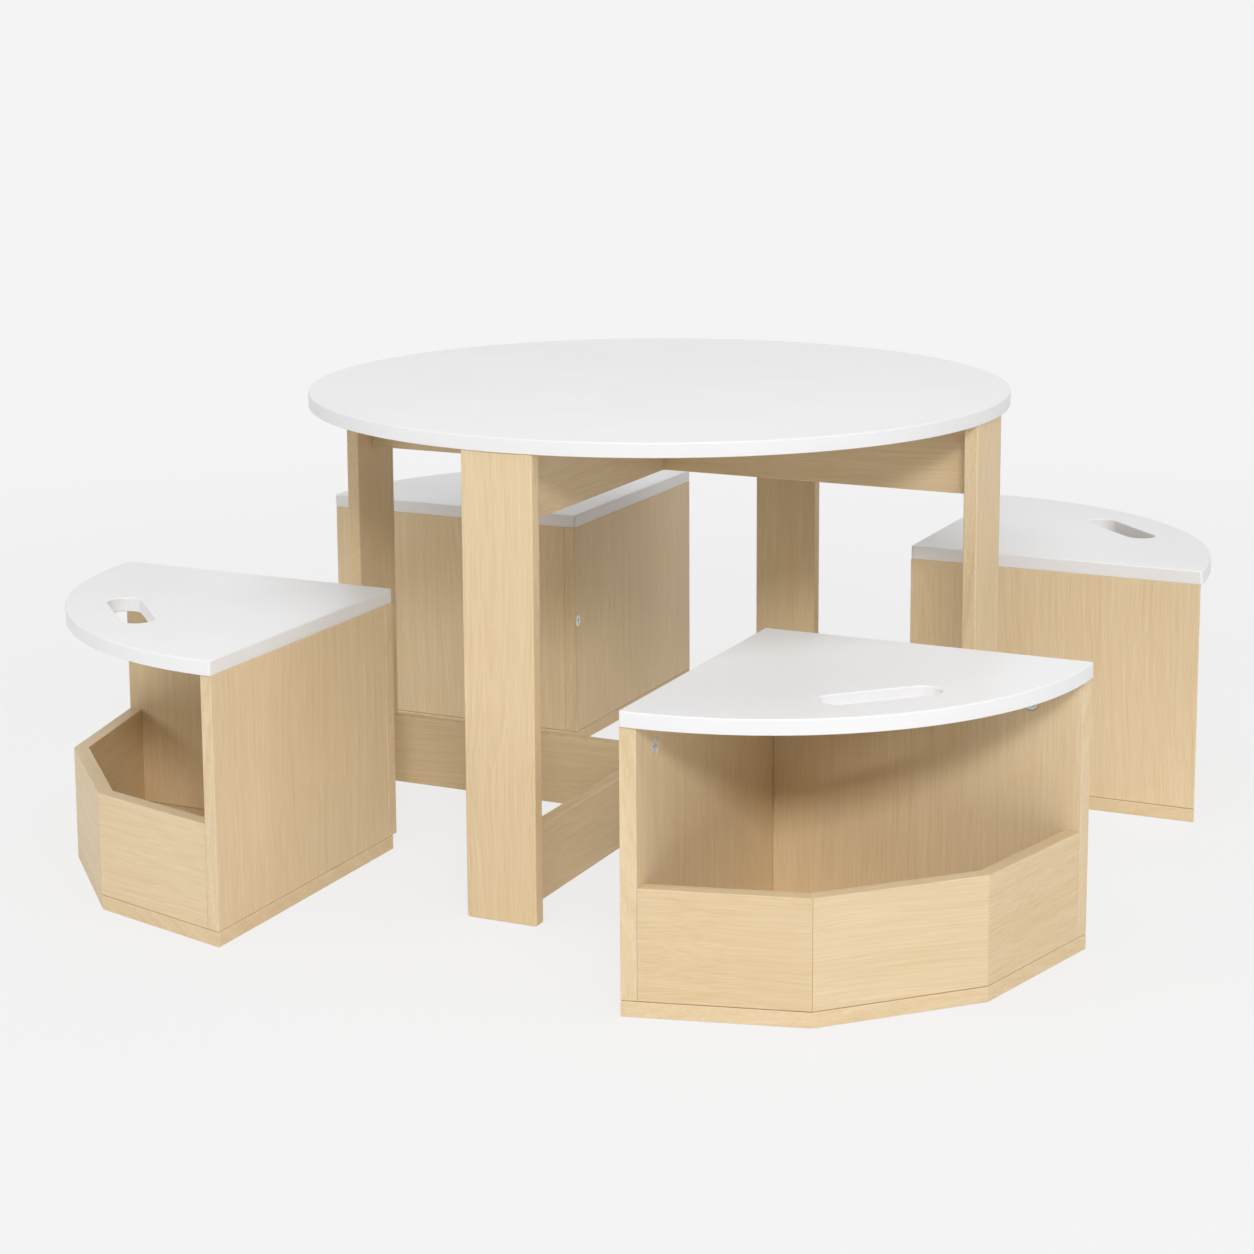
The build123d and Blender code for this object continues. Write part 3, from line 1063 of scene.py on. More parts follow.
class FixingNodes:
    """Geometry Nodes tree that sets a fixing at every place."""

    seam: float = 0.001 * MM

    def __init__(self, name: str, sizes: dict[str, float], counts: dict[str, int]) -> None:
        """Start a tree with named inputs.

        Args:
            name: Name of the tree.
            sizes: The fixing's lengths by input name.
            counts: Its counts by input name.
        """
        self.group = bpy.data.node_groups.new(name, "GeometryNodeTree")
        self.nodes = NodeTree(self.group)
        self.defaults: dict[str, float] = {**sizes, **counts}
        kinds = {"Geometry": "NodeSocketGeometry"}
        kinds.update(dict.fromkeys(sizes, "NodeSocketFloat"))
        kinds.update(dict.fromkeys(counts, "NodeSocketInt"))
        kinds["Material"] = "NodeSocketMaterial"
        for key, kind in kinds.items():
            self.group.interface.new_socket(key, in_out="INPUT", socket_type=kind)
        self.group.interface.new_socket("Geometry", in_out="OUTPUT", socket_type="NodeSocketGeometry")
        self.start = self.nodes.add("NodeGroupInput")

    def size(self, name: str) -> Socket:
        """A named input of the tree."""
        return self.start.outputs[name]

    def lowered(self, part: Socket, depth: Value) -> Socket:
        """A mesh moved down.

        Args:
            part: The mesh.
            depth: How far.

        Returns:
            The moved mesh.
        """
        down = self.nodes.add("ShaderNodeCombineXYZ", {2: self.nodes.math("MULTIPLY", depth, -1.0)})
        moved = {"Geometry": part, "Translation": down.outputs[0]}
        return self.nodes.add("GeometryNodeTransform", moved).outputs[0]

    def disc(self, radius: Value, thickness: Value, ease: Value, sides: Value) -> Socket:
        """Closed disc under Z = 0 with its upper rim eased.

        Args:
            radius: Its radius.
            thickness: Its thickness.
            ease: Chamfer of the rim.
            sides: Count of its sides.

        Returns:
            The disc's mesh.
        """
        nodes = self.nodes
        rim = {"Vertices": sides, "Radius": radius}
        round_face = nodes.add("GeometryNodeMeshCircle", rim, fill_type="NGON").outputs[0]
        straight = nodes.math("SUBTRACT", thickness, ease)
        wall = nodes.add("GeometryNodeExtrudeMesh", {"Mesh": round_face, "Offset Scale": straight})
        lip_inputs = {"Mesh": wall.outputs[0], "Selection": wall.outputs[1], "Offset Scale": ease}
        lip = nodes.add("GeometryNodeExtrudeMesh", lip_inputs)
        share = nodes.math("DIVIDE", nodes.math("SUBTRACT", radius, ease), radius)
        narrowed = nodes.add(
            "GeometryNodeScaleElements",
            {"Geometry": lip.outputs[0], "Selection": lip.outputs[1], "Scale": share},
        )
        bottom = nodes.add("GeometryNodeFlipFaces", {"Mesh": round_face}).outputs[0]
        joined = self._gathered("GeometryNodeJoinGeometry", 0, (narrowed.outputs[0], bottom))
        closed = nodes.add("GeometryNodeMergeByDistance", {"Geometry": joined, "Distance": self.seam})
        return self.lowered(closed.outputs[0], thickness)

    def _gathered(
        self, kind: str, entry: int | str, parts: Sequence[Socket], **settings: object
    ) -> Socket:
        """Node that takes several meshes at one input.

        Args:
            kind: The node's type name.
            entry: Name or number of the input.
            parts: The meshes.
            settings: Properties of the node.

        Returns:
            The node's result.
        """
        node = self.nodes.add(kind, **settings)
        for part in parts:
            self.nodes.feed(node.inputs[entry], part)
        return node.outputs[0]

    def unite(self, *parts: Socket) -> Socket:
        """Meshes joined into one closed solid."""
        kind = "GeometryNodeMeshBoolean"
        return self._gathered(kind, "Mesh 2", parts, operation="UNION", solver="EXACT")

    def cut(self, body: Socket, tool: Socket) -> Socket:
        """A mesh with another cut out of it."""
        kind, meshes = "GeometryNodeMeshBoolean", {"Mesh 1": body, "Mesh 2": tool}
        return self.nodes.add(kind, meshes, operation="DIFFERENCE", solver="EXACT").outputs[0]

    def repeat(self, fixing: Socket) -> None:
        """Set the fixing at every place and close the tree.

        Args:
            fixing: The fixing's mesh, facing up at the origin.
        """
        nodes = self.nodes
        facing, across = (
            nodes.add("GeometryNodeInputNamedAttribute", {"Name": key}, data_type="FLOAT_VECTOR")
            for key in ("facing", "across")
        )
        turned = {0: facing.outputs[0], 1: across.outputs[0]}
        upright = nodes.add("FunctionNodeAxesToRotation", turned, primary_axis="Z", secondary_axis="X")
        cloud = nodes.add("GeometryNodeMeshToPoints", {"Mesh": self.size("Geometry")})
        placed = nodes.add(
            "GeometryNodeInstanceOnPoints",
            {"Points": cloud.outputs[0], "Instance": fixing, "Rotation": upright.outputs[0]},
        )
        real = nodes.add("GeometryNodeRealizeInstances", {"Geometry": placed.outputs[0]})
        dressed = nodes.add(
            "GeometryNodeSetMaterial",
            {"Geometry": real.outputs[0], "Material": self.size("Material")},
        )
        nodes.add("NodeGroupOutput", {0: dressed.outputs[0]})

    def make(self, name: str, places: FixingPlaces, finish: bpy.types.Material) -> bpy.types.Object:
        """Run the tree on a set of places.

        Args:
            name: Name of the piece.
            places: Where the fixings stand.
            finish: The material of the fixings.

        Returns:
            The piece with a plain mesh.
        """
        piece = add_object(name, places.mesh(name))
        modifier = piece.modifiers.new("fixings", "NODES")
        modifier.node_group = self.group
        for socket in self.group.interface.items_tree:
            if socket.in_out == "INPUT" and socket.name in self.defaults:
                modifier[socket.identifier] = self.defaults[socket.name]
            elif socket.name == "Material":
                modifier[socket.identifier] = finish
        plain_mesh(piece)
        if not piece.data.materials:
            piece.data.materials.append(finish)
        return piece


@dataclass
class CamLock:
    """Round cam with a cross slot, set just under a board's face."""

    diameter: float = 15.0 * MM
    thickness: float = 12.5 * MM
    recess: float = 0.8 * MM
    setback: float = 28.0 * MM
    gap: float = 0.35 * MM
    rim_ease: float = 0.5 * MM
    slot_length: float = 9.6 * MM
    slot_width: float = 2.2 * MM
    slot_depth: float = 2.6 * MM
    sides: int = 48

    def nodes(self) -> FixingNodes:
        """Tree that sets a cam at every place.

        Returns:
            The tree, ready to run.
        """
        sizes = {
            "Diameter": self.diameter,
            "Thickness": self.thickness,
            "Rim Ease": self.rim_ease,
            "Slot Length": self.slot_length,
            "Slot Width": self.slot_width,
            "Slot Depth": self.slot_depth,
            "Recess": self.recess,
        }
        tree = FixingNodes("cam lock", sizes, {"Sides": self.sides})
        nodes = tree.nodes
        radius = nodes.math("DIVIDE", tree.size("Diameter"), 2.0)
        body = tree.disc(radius, tree.size("Thickness"), tree.size("Rim Ease"), tree.size("Sides"))
        slot_size = {
            0: tree.size("Slot Length"),
            1: tree.size("Slot Width"),
            2: nodes.math("MULTIPLY", tree.size("Slot Depth"), 2.0),
        }
        arm_size = nodes.add("ShaderNodeCombineXYZ", slot_size).outputs[0]
        arm = nodes.add("GeometryNodeMeshCube", {"Size": arm_size}).outputs[0]
        turned = {"Geometry": arm, "Rotation": (0, 0, QUARTER_TURN)}
        other_arm = nodes.add("GeometryNodeTransform", turned).outputs[0]
        slotted = tree.cut(body, tree.unite(arm, other_arm))
        tree.repeat(tree.lowered(slotted, tree.size("Recess")))
        return tree

    def pocket(self, face: Face, centre: Vector) -> Pocket:
        """The pocket that a cam sits in."""
        return Pocket(face, centre, self.diameter / 2 + self.gap, self.recess + self.thickness + self.gap)


@dataclass
class Screw:
    """Flat-headed screw with a hexagon socket."""

    head_diameter: float = 14.0 * MM
    head_thickness: float = 2.4 * MM
    shank_diameter: float = 6.6 * MM
    length: float = 50.0 * MM
    recess: float = 0.4 * MM
    gap: float = 0.2 * MM
    rim_ease: float = 0.45 * MM
    socket_radius: float = 2.9 * MM
    socket_depth: float = 1.9 * MM
    socket_sides: int = 6
    sides: int = 48

    def nodes(self) -> FixingNodes:
        """Tree that sets a screw at every place.

        Returns:
            The tree, ready to run.
        """
        sizes = {
            "Head Diameter": self.head_diameter,
            "Head Thickness": self.head_thickness,
            "Shank Diameter": self.shank_diameter,
            "Length": self.length - self.recess,
            "Rim Ease": self.rim_ease,
            "Socket Radius": self.socket_radius,
            "Socket Depth": self.socket_depth,
            "Recess": self.recess,
        }
        counts = {"Sides": self.sides, "Socket Sides": self.socket_sides}
        tree = FixingNodes("socket screw", sizes, counts)
        nodes = tree.nodes
        ease, sides = tree.size("Rim Ease"), tree.size("Sides")
        head_radius = nodes.math("DIVIDE", tree.size("Head Diameter"), 2.0)
        head = tree.disc(head_radius, tree.size("Head Thickness"), ease, sides)
        shank_radius = nodes.math("DIVIDE", tree.size("Shank Diameter"), 2.0)
        shank_length = nodes.math("SUBTRACT", tree.size("Length"), ease)
        shank = tree.disc(shank_radius, shank_length, ease, sides)
        whole = tree.unite(head, tree.lowered(shank, ease))
        socket_size = {
            "Vertices": tree.size("Socket Sides"),
            "Radius": tree.size("Socket Radius"),
            "Depth": nodes.math("MULTIPLY", tree.size("Socket Depth"), 2.0),
        }
        hexagon = nodes.add("GeometryNodeMeshCylinder", socket_size).outputs[0]
        tree.repeat(tree.lowered(tree.cut(whole, hexagon), tree.size("Recess")))
        return tree

    def pocket(self, face: Face, centre: Vector) -> Pocket:
        """The pocket that a head sits in."""
        depth = self.recess + self.head_thickness + self.gap
        return Pocket(face, centre, self.head_diameter / 2 + self.gap, depth)


@dataclass
class Hardware:
    """The visible fixings and the trees that make them."""

    cam: CamLock = field(default_factory=CamLock)
    screw: Screw = field(default_factory=Screw)

    def __post_init__(self) -> None:
        """Build the trees."""
        self.cam_nodes = self.cam.nodes()
        self.screw_nodes = self.screw.nodes()


@dataclass
class Table:
    """Round top on four broad legs with crossed rails."""

    workshop: Workshop
    hardware: Hardware
    body: str = "table"
    top_ease: float = 1.6 * MM
    top_sides: int = 288
    leg_ease: float = 1.5 * MM
    corner_share: float = 1.5
    rail_ease: float = 1.5 * MM
    lap_clearance: float = 0.1 * MM
    top_cam_share: float = 0.5

    def __post_init__(self) -> None:
        """Read the sizes off the frame."""
        low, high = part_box("table_top")
        self.radius = (high.x - low.x) / 2
        self.board = high.z - low.z
        self.underside = low.z
        low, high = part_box("right_leg")
        self.leg_face = high.x
        self.leg_width = high.y - low.y
        low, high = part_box("upper_rail_left_to_right")
        self.rail_depth = high.z - low.z
        self.rail_reach = high.x

    def build(self) -> None:
        """Make every board and fixing of the table."""
        self.make_top()
        for leg in Leg:
            self.make_leg(leg)
        for level in Level:
            for run in Run:
                self.make_rail(level, run)
        self.make_cams()
        for node, slot in (("table_cam_bolts", Slot.NICKEL), ("table_dowels", Slot.DOWEL_WOOD)):
            self.workshop.dress(node, slot)

    def make_top(self) -> None:
        """Round white top."""
        outline = circle(Vector((0, 0)), self.radius, self.top_sides)
        board = Board(outline, self.board, self.top_ease, low_ease=self.top_ease / 2)
        place = Matrix.Translation((0, 0, self.underside))
        self.workshop.place_board("round_top", board, place, None, "table_top", self.body)

    def make_leg(self, leg: Leg) -> None:
        """Broad flat leg, with its outer face turned out.

        Args:
            leg: Which leg.
        """
        name = leg.name.lower()
        half = self.leg_width / 2
        corners = [(-half, 0), (half, 0), (half, self.underside), (-half, self.underside)]
        outline = Outline(corners).rounded(self.leg_ease * self.corner_share)
        board = Board(outline, self.board, self.leg_ease)
        out = Vector((math.cos(leg.value), math.sin(leg.value), 0))
        place = frame_matrix(UP.cross(out), UP, out * (self.leg_face - self.board))
        grain = Grain.UPRIGHT.value
        self.workshop.place_board(f"leg_{name}", board, place, grain, f"{name}_leg", self.body)

    def rail_foot(self, level: Level) -> float:
        """Height of a rail's lower edge."""
        return self.underside - self.rail_depth if level is Level.UPPER else 0.0

    def make_rail(self, level: Level, run: Run) -> None:
        """Rail that is halved over the one it crosses.

        Args:
            level: Its height.
            run: The way that it runs.
        """
        reach, depth = self.rail_reach, self.rail_depth
        notch = self.board / 2 + self.lap_clearance
        points = [(-reach, 0), (reach, 0), (reach, depth), (-reach, depth)]
        if run is Run.LEFT_TO_RIGHT:
            points[3:3] = [(notch, depth), (notch, depth / 2), (-notch, depth / 2), (-notch, depth)]
        else:
            points[1:1] = [(-notch, 0), (-notch, depth / 2), (notch, depth / 2), (notch, 0)]
        cam = self.hardware.cam
        spots = [(end * (reach - cam.setback), depth / 2) for end in (-1, 1)]
        if level is Level.UPPER:
            spots += [(end * reach * self.top_cam_share, depth - cam.setback) for end in (-1, 1)]
        pockets = [cam.pocket(Face.LOW, Vector(spot)) for spot in spots]
        board = Board(Outline(points), self.board, self.rail_ease, pockets=pockets)
        along = run.along()
        low_face = UP.cross(along) * (self.board / 2)
        place = frame_matrix(along, UP, low_face + UP * self.rail_foot(level))
        name, node = f"rail_{level.value}_{run.value}", f"{level.value}_rail_{run.value}"
        self.workshop.place_board(name, board, place, Grain.ALONG.value, node, self.body)

    def make_cams(self) -> None:
        """Cams at the rails' ends and under the top, on the faces turned away from the front."""
        cam = self.hardware.cam
        places = FixingPlaces()
        for along in (X_AXIS, Y_AXIS):
            away = UP.cross(along)
            face = away * (self.board / 2)
            for level in Level:
                middle = self.rail_foot(level) + self.rail_depth / 2
                for end in (-1, 1):
                    spot = along * (end * (self.rail_reach - cam.setback)) + face
                    places.add(spot + UP * middle, away, along * end)
            for end in (-1, 1):
                spot = along * (end * self.rail_reach * self.top_cam_share) + face
                places.add(spot + UP * (self.underside - cam.setback), away, UP)
        finish = self.workshop.finishes.by_slot[Slot.NICKEL]
        piece = self.hardware.cam_nodes.make("table_cams", places, finish)
        self.workshop.tie(piece, Slot.NICKEL, "table_cam_locks", self.body)


@dataclass
class Stool:
    """Quarter-round storage stool in its own frame: U along its left side, V along its right."""

    corner: Corner
    workshop: Workshop
    hardware: Hardware
    seat_ease: float = 1.6 * MM
    seat_steps: int = 64
    tip_radius: float = 3.0 * MM
    tip_steps: int = 5
    slot_length: float = 120.0 * MM
    slot_width: float = 34.0 * MM
    slot_margin: float = 46.5 * MM
    slot_steps: int = 16
    board_ease: float = 0.8 * MM
    panel_corner_share: float = 1.5
    front_corner_share: float = 0.8
    joint_gap: float = 0.35 * MM
    mitre_gap: float = 0.12 * MM
    bin_ease: float = 0.6 * MM
    bin_foot_gap: float = 0.8 * MM
    bin_foot_ease: float = 0.15 * MM
    base_corner_cut: float = 8.0 * MM
    left_cam_inset: float = 45.5 * MM
    right_cam_inset: float = 56.0 * MM
    rear_cam_inset: float = 50.0 * MM
    screw_inset: float = 70.0 * MM
    corner_screw_height: float = 154.0 * MM

    def __post_init__(self) -> None:
        """Read the place and the sizes off the frame."""
        self.side = self.corner.value
        self.body = f"{self.side}_stool"
        low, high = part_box(f"{self.body}_seat")
        self.radius = high.x - low.x
        self.board = high.z - low.z
        self.seat_underside = low.z
        corners = [Vector((x, y, 0)) for x in (low.x, high.x) for y in (low.y, high.y)]
        inner = min(corners, key=lambda corner: corner.length)
        turn = math.atan2(inner.y, inner.x) - math.pi / 4
        self.place = Matrix.Translation(inner) @ Matrix.Rotation(turn, 4, "Z")
        low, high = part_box(f"{self.body}_left_side")
        self.panel_length = max(high.x - low.x, high.y - low.y)
        low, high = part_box(f"{self.body}_bin_middle")
        self.bin_depth = high.z - low.z
        self.facets = arc(Vector((0, 0)), self.radius, 0, QUARTER_TURN, len(BIN_BOARDS))[1:-1]
        self.bevel = (self.panel_length - self.facets[0].x) * self.board / self.facets[0].y
        end = self.panel_length - self.bevel
        self.bin_line = [Vector((end, self.board)), *self.facets, Vector((self.board, end))]

    def build(self) -> None:
        """Make every board and fixing of the stool."""
        self.make_seat()
        self.make_left_side()
        self.make_right_side()
        self.make_base()
        self.make_bin()
        self.make_fixings()
        for part, slot in (("cam_bolts", Slot.NICKEL), ("dowels", Slot.DOWEL_WOOD)):
            self.workshop.dress(f"{self.body}_{part}", slot)

    def put(self, part: str, board: Board, place: Matrix, grain: float | None) -> None:
        """Place one of the stool's boards.

        Args:
            part: Name of the board.
            board: The board in its own frame.
            place: The matrix from that frame to the stool's.
            grain: Turn of the grain on the outline in radians, or None for the seat.
        """
        node = f"{self.body}_{part}"
        finish = self.workshop.finishes.seat if grain is None else None
        name, at = f"{self.side}_{part}", self.place @ place
        self.workshop.place_board(name, board, at, grain, node, self.body, finish)

    def make_seat(self) -> None:
        """Quarter-round white seat with a hand slot parallel to its front."""
        holes = [self.slot_outline()]
        low_ease = self.seat_ease / 2
        board = Board(self.seat_outline(), self.board, self.seat_ease, low_ease=low_ease, holes=holes)
        self.put("seat", board, Matrix.Translation((0, 0, self.seat_underside)), None)

    def seat_outline(self) -> Outline:
        """Quarter circle with a small round at its inner corner and at both tips.

        Returns:
            The seat's outline.
        """
        small, steps = self.tip_radius, self.tip_steps
        tip = math.asin(small / (self.radius - small))
        reach = (self.radius - small) * math.cos(tip)
        tip_turn = QUARTER_TURN + tip
        inner = arc(Vector((small, small)), small, math.pi, QUARTER_TURN, steps)
        first = arc(Vector((reach, small)), small, -QUARTER_TURN, tip_turn, steps)
        last = arc(Vector((small, reach)), small, QUARTER_TURN - tip, tip_turn, steps)
        front = arc(Vector((0, 0)), self.radius, 0, QUARTER_TURN, self.seat_steps)
        kept = [point for point in front if tip <= math.atan2(point.y, point.x) <= QUARTER_TURN - tip]
        return Outline([*inner, *first, *kept, *last])

    def slot_outline(self) -> Outline:
        """Clockwise outline of the hand slot, centred on the bisector.

        Returns:
            The outline.
        """
        end = self.slot_width / 2
        run = self.slot_length / 2 - end
        reach = self.radius - self.slot_margin - end
        points = []
        for middle, start in ((run, QUARTER_TURN), (-run, -QUARTER_TURN)):
            points += arc(Vector((middle, 0)), end, start, -math.pi, self.slot_steps)
        turn = Matrix.Rotation(Grain.DIAGONAL.value, 2)
        centre = Vector((reach, reach)) * math.sqrt(0.5)
        return Outline([centre + turn @ point for point in points])

    def panel_board(self, start: float, pockets: list[Pocket], inner: Face) -> Board:
        """Upright side panel along X, whose front end is in line with the bin's outer facet.

        Args:
            start: Where the panel starts.
            pockets: Pockets in its faces.
            inner: The face that looks into the stool.

        Returns:
            The board in its own frame.
        """
        top, foot = self.seat_underside, self.board + self.joint_gap
        corners = [(start, foot), (self.panel_length, foot), (self.panel_length, top), (start, top)]
        outline = Outline(corners).rounded(self.board_ease * self.panel_corner_share)
        return Board(
            outline, self.board, self.board_ease, pockets=pockets, bevel=self.bevel, bevelled=inner
        )

    def cam_spots(self, front_inset: float) -> list[Vector]:
        """Cams along a side panel, seen on its face.

        Args:
            front_inset: Way from the panel's front end to the front cam.

        Returns:
            The rear cam's middle and the front cam's.
        """
        height = self.seat_underside - self.hardware.cam.setback
        runs = (self.rear_cam_inset, self.panel_length - front_inset)
        return [Vector((run, height)) for run in runs]

    def make_left_side(self) -> None:
        """Side panel that runs the whole way to the inner corner, with its inner face low."""
        screw, cam = self.hardware.screw, self.hardware.cam
        pockets = [cam.pocket(Face.LOW, spot) for spot in self.cam_spots(self.left_cam_inset)]
        pockets.append(screw.pocket(Face.HIGH, Vector((self.board / 2, self.corner_screw_height))))
        board = self.panel_board(0.0, pockets, Face.LOW)
        place = frame_matrix(X_AXIS, UP, Vector((0, self.board, 0)))
        self.put("left_side", board, place, Grain.UPRIGHT.value)

    def make_right_side(self) -> None:
        """Side panel that butts against the left one, with its inner face high."""
        cam = self.hardware.cam
        pockets = [cam.pocket(Face.HIGH, spot) for spot in self.cam_spots(self.right_cam_inset)]
        board = self.panel_board(self.board + self.mitre_gap, pockets, Face.HIGH)
        place = frame_matrix(Y_AXIS, UP, Vector((0, 0, 0)))
        self.put("right_side", board, place, Grain.UPRIGHT.value)

    def base_screw_spots(self) -> list[Vector]:
        """Screws under the base.

        Returns:
            The middles of two screws in each side panel.
        """
        far, middle = self.panel_length - self.screw_inset, self.board / 2
        left = [Vector((run, middle)) for run in (self.screw_inset, far)]
        right = [Vector((middle, run)) for run in (self.board + self.screw_inset, far)]
        return left + right

    def make_base(self) -> None:
        """Base board with its inner corner cut off."""
        cut, reach = self.base_corner_cut, self.panel_length
        points = [(cut, 0), (reach, 0), *self.facets, (0, reach), (0, cut)]
        outline = Outline(points).rounded(self.board_ease * self.front_corner_share)
        pockets = [self.hardware.screw.pocket(Face.LOW, spot) for spot in self.base_screw_spots()]
        board = Board(outline, self.board, self.board_ease, pockets=pockets)
        self.put("base", board, Matrix.Identity(4), Grain.DIAGONAL.value)

    def make_bin(self) -> None:
        """Three low front boards, mitred to each other."""
        line = self.bin_line
        along = [(end - start).normalized() for start, end in zip(line, line[1:])]
        out = [Vector((way.y, -way.x)) for way in along]
        inner = [line[0] - Vector((self.board / out[0].x, 0))]
        for corner, one, other in zip(line[1:], out, out[1:]):
            inner.append(corner - (one + other) * (self.board / (1 + one.dot(other))))
        inner.append(line[-1] - Vector((0, self.board / out[-1].y)))
        gaps = (self.joint_gap, self.mitre_gap, self.mitre_gap, self.joint_gap)
        depth = self.bin_depth - self.bin_foot_gap
        place = Matrix.Translation((0, 0, self.board + self.bin_foot_gap))
        radius, low_ease = self.bin_ease * self.front_corner_share, self.bin_foot_ease
        for index, name in enumerate(BIN_BOARDS):
            way, after = along[index], index + 1
            first, last = (way * (gap / 2) for gap in gaps[index:index + 2])
            points = [line[index] + first, line[after] - last, inner[after] - last, inner[index] + first]
            outline = Outline(points, [1.0, 0.0, 1.0, 0.0]).rounded(radius)
            board = Board(outline, depth, self.bin_ease, low_ease=low_ease, banded=False)
            self.put(f"bin_{name}", board, place, math.atan2(way.y, way.x))

    def make_fixings(self) -> None:
        """Cams inside the side panels, and the screws at the corner and under the base."""
        turn = self.place.to_3x3()
        u, v = turn @ X_AXIS, turn @ Y_AXIS
        cams, screws = FixingPlaces(), FixingPlaces()
        for run, height in self.cam_spots(self.left_cam_inset):
            cams.add(self.place @ Vector((run, self.board, height)), v, UP)
        for run, height in self.cam_spots(self.right_cam_inset):
            cams.add(self.place @ Vector((self.board, run, height)), u, (UP + v).normalized())
        for x, y in self.base_screw_spots():
            screws.add(self.place @ Vector((x, y, 0)), -UP, u)
        screws.add(self.place @ Vector((self.board / 2, 0, self.corner_screw_height)), -v, u)
        finish = self.workshop.finishes.by_slot[Slot.NICKEL]
        hardware = self.hardware
        for part, nodes, places, node in (
            ("cams", hardware.cam_nodes, cams, "cam_locks"),
            ("screws", hardware.screw_nodes, screws, "screws"),
        ):
            piece = nodes.make(f"{self.side}_{part}", places, finish)
            self.workshop.tie(piece, Slot.NICKEL, f"{self.body}_{node}", self.body)


@dataclass(frozen=True)
class SoftLight:
    """Soft box that looks at a point of the object."""

    name: str
    place: tuple[float, float, float]
    size: tuple[float, float]
    strength: float
    target: tuple[float, float, float] = (0.0, 0.0, 0.2)

    def make(self) -> None:
        """Add the light."""
        data = bpy.data.lights.new(self.name, "AREA")
        data.shape = "RECTANGLE"
        data.size, data.size_y = self.size
        data.energy = self.strength
        lamp = add_object(self.name, data)
        lamp.location = self.place
        aim = Vector(self.target) - Vector(self.place)
        lamp.rotation_euler = aim.to_track_quat("-Z", "Y").to_euler()


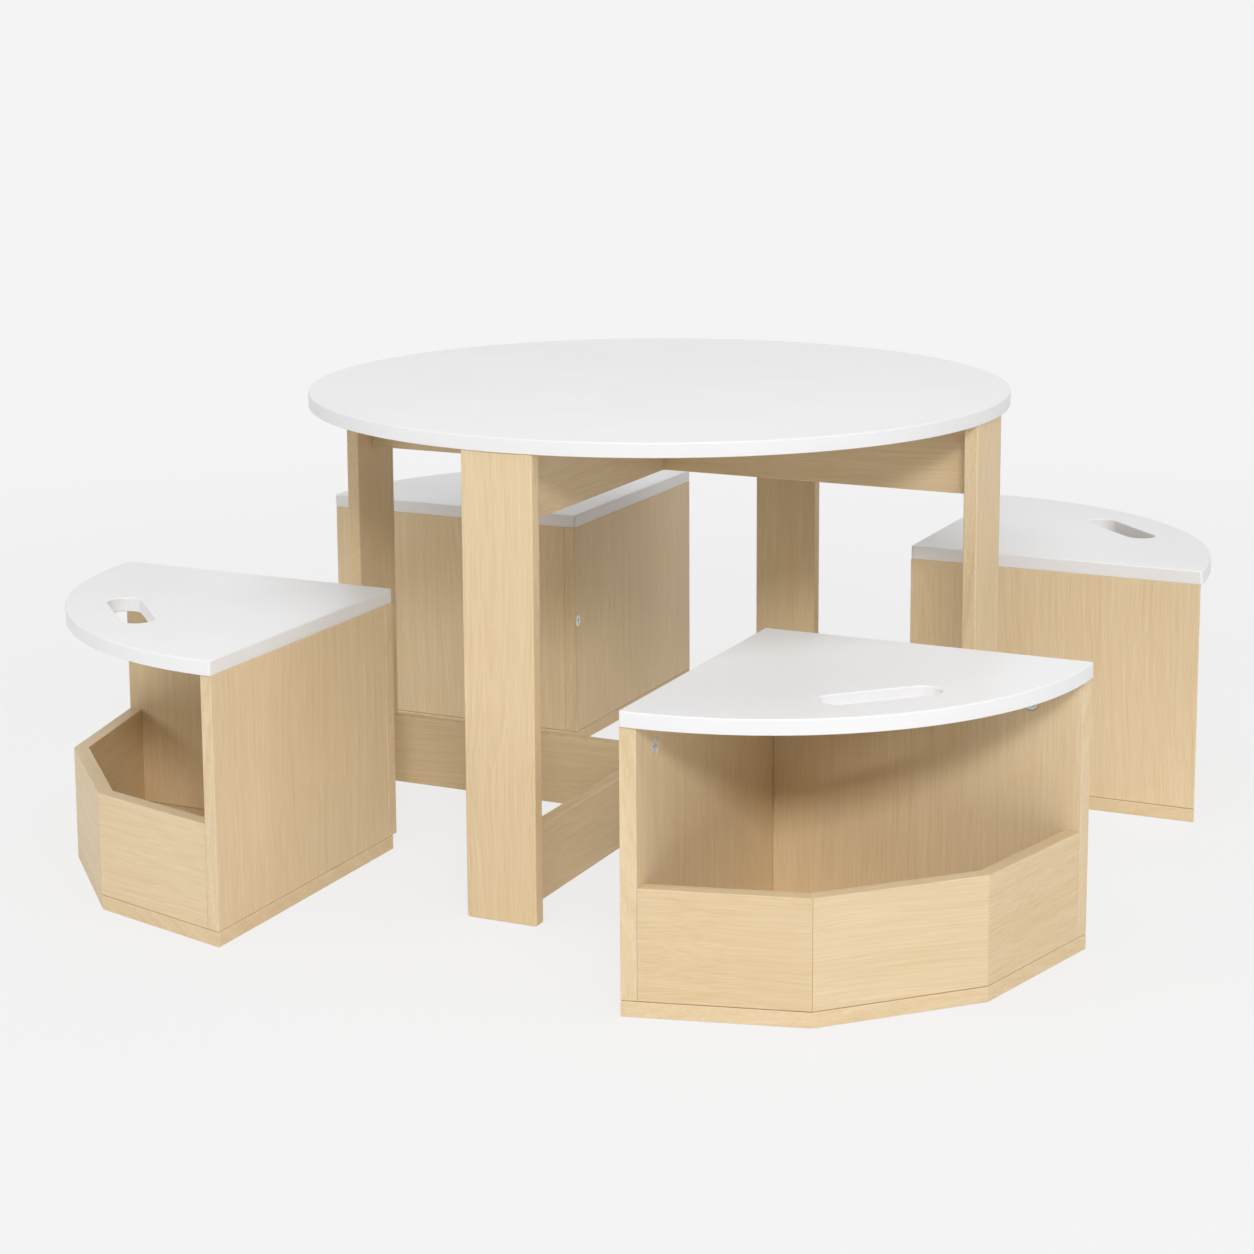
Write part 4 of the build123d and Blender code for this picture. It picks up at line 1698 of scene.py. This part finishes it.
@dataclass
class Studio:
    """Pale floor and background, soft lights, and the camera of the photograph."""

    background: Colour = srgb(244, 244, 244)
    ambient: float = 0.24
    floor_radius: float = 14.0
    floor_sides: int = 96
    floor_drop: float = 0.2 * MM
    shadow_share: float = 0.16
    shadow_reach: tuple[float, float] = (1.0, 2.6)
    lens: float = 76.505
    sensor_width: float = 36.0
    shift: tuple[float, float] = (-0.0683, -0.16)
    eye: tuple[float, float, float] = (1.21863, -2.61251, 0.92001)
    azimuth: float = 23.872
    tilt_down: float = 9.401
    lights: tuple[SoftLight, ...] = (
        SoftLight("key", (2.37, -4.46, 2.72), (0.9, 0.65), 75.0),
        SoftLight("key strip", (2.37, -4.46, 2.72), (3.6, 0.65), 55.0),
        SoftLight("overhead", (0.42, -0.9, 3.78), (2.8, 2.8), 46.0),
        SoftLight("left fill", (-3.218, -2.597, 1.755), (2.0, 1.2), 33.0),
        SoftLight("right fill", (3.811, -0.007, 2.45), (2.0, 1.4), 29.0),
        SoftLight("rear fill", (-1.261, 2.845, 3.361), (3.0, 2.0), 22.0),
    )

    def build(self) -> None:
        """Set up everything round the object."""
        self.make_world()
        self.make_floor()
        for light in self.lights:
            light.make()
        self.make_camera()
        bpy.context.scene.view_settings.view_transform = "Standard"

    def make_world(self) -> None:
        """Even light all round, with the background where the camera or a mirror sees it."""
        world = bpy.data.worlds.new("studio")
        bpy.context.scene.world = world
        world.use_nodes = True
        nodes = NodeTree(world.node_tree)
        plain = nodes.add("ShaderNodeBackground", {"Color": (1, 1, 1, 1), "Strength": self.ambient})
        seen = nodes.add("ShaderNodeBackground", {"Color": self.background, "Strength": 1.0})
        nodes.add("ShaderNodeOutputWorld", {0: self.where_seen(nodes, plain, seen)})

    def where_seen(self, nodes: NodeTree, lit: bpy.types.Node, seen: bpy.types.Node) -> Socket:
        """Shader that shows what the camera sees apart from what lights the object.

        Args:
            nodes: The tree.
            lit: Shader node for the rays that carry light.
            seen: Shader node for camera rays, and for mirrored and refracted ones.

        Returns:
            The mixed shader.
        """
        path = nodes.add("ShaderNodeLightPath").outputs
        glossy = nodes.math("MAXIMUM", path["Is Camera Ray"], path["Is Glossy Ray"])
        share = nodes.math("MAXIMUM", glossy, path["Is Transmission Ray"])
        return nodes.mix_shader(share, lit, seen).outputs[0]

    def make_floor(self) -> None:
        """Seamless pale floor that keeps a faint shadow near the object."""
        material = bpy.data.materials.new("studio floor")
        material.use_nodes = True
        nodes = NodeTree(material.node_tree)
        distance = nodes.length(nodes.object_place())
        shadow = nodes.band(distance, *self.shadow_reach, self.shadow_share, 0.0)
        diffuse = nodes.add("ShaderNodeBsdfDiffuse", {"Color": self.background})
        glow = nodes.add("ShaderNodeEmission", {"Color": self.background, "Strength": 1.0})
        shaded = nodes.mix_shader(shadow, glow, diffuse)
        nodes.add("ShaderNodeOutputMaterial", {0: self.where_seen(nodes, diffuse, shaded)})
        rim = circle(Vector((0, 0)), self.floor_radius, self.floor_sides).points
        mesh = bpy.data.meshes.new("studio_floor")
        mesh.from_pydata([(*point, -self.floor_drop) for point in rim], [], [list(range(len(rim)))])
        mesh.materials.append(material)
        floor = add_object("studio_floor", mesh)

    def make_camera(self) -> None:
        """Camera at the photograph's viewing angle."""
        data = bpy.data.cameras.new("camera")
        data.lens = self.lens
        data.sensor_width = self.sensor_width
        data.shift_x, data.shift_y = self.shift
        camera = add_object("camera", data)
        camera.location = self.eye
        camera.rotation_euler = (math.radians(90 - self.tilt_down), 0, math.radians(self.azimuth))
        bpy.context.scene.camera = camera


def main() -> None:
    """Build the table, the stools and the studio, and report each piece."""
    logging.basicConfig(level=logging.INFO, format="%(name)s: %(message)s")
    workshop = Workshop(Finishes(), Timber(seed=11))
    hardware = Hardware()
    Table(workshop, hardware).build()
    for corner in Corner:
        Stool(corner, workshop, hardware).build()
    Studio().build()
    for line in workshop.report:
        log.info(line)


if __name__ == "__main__":
    main()
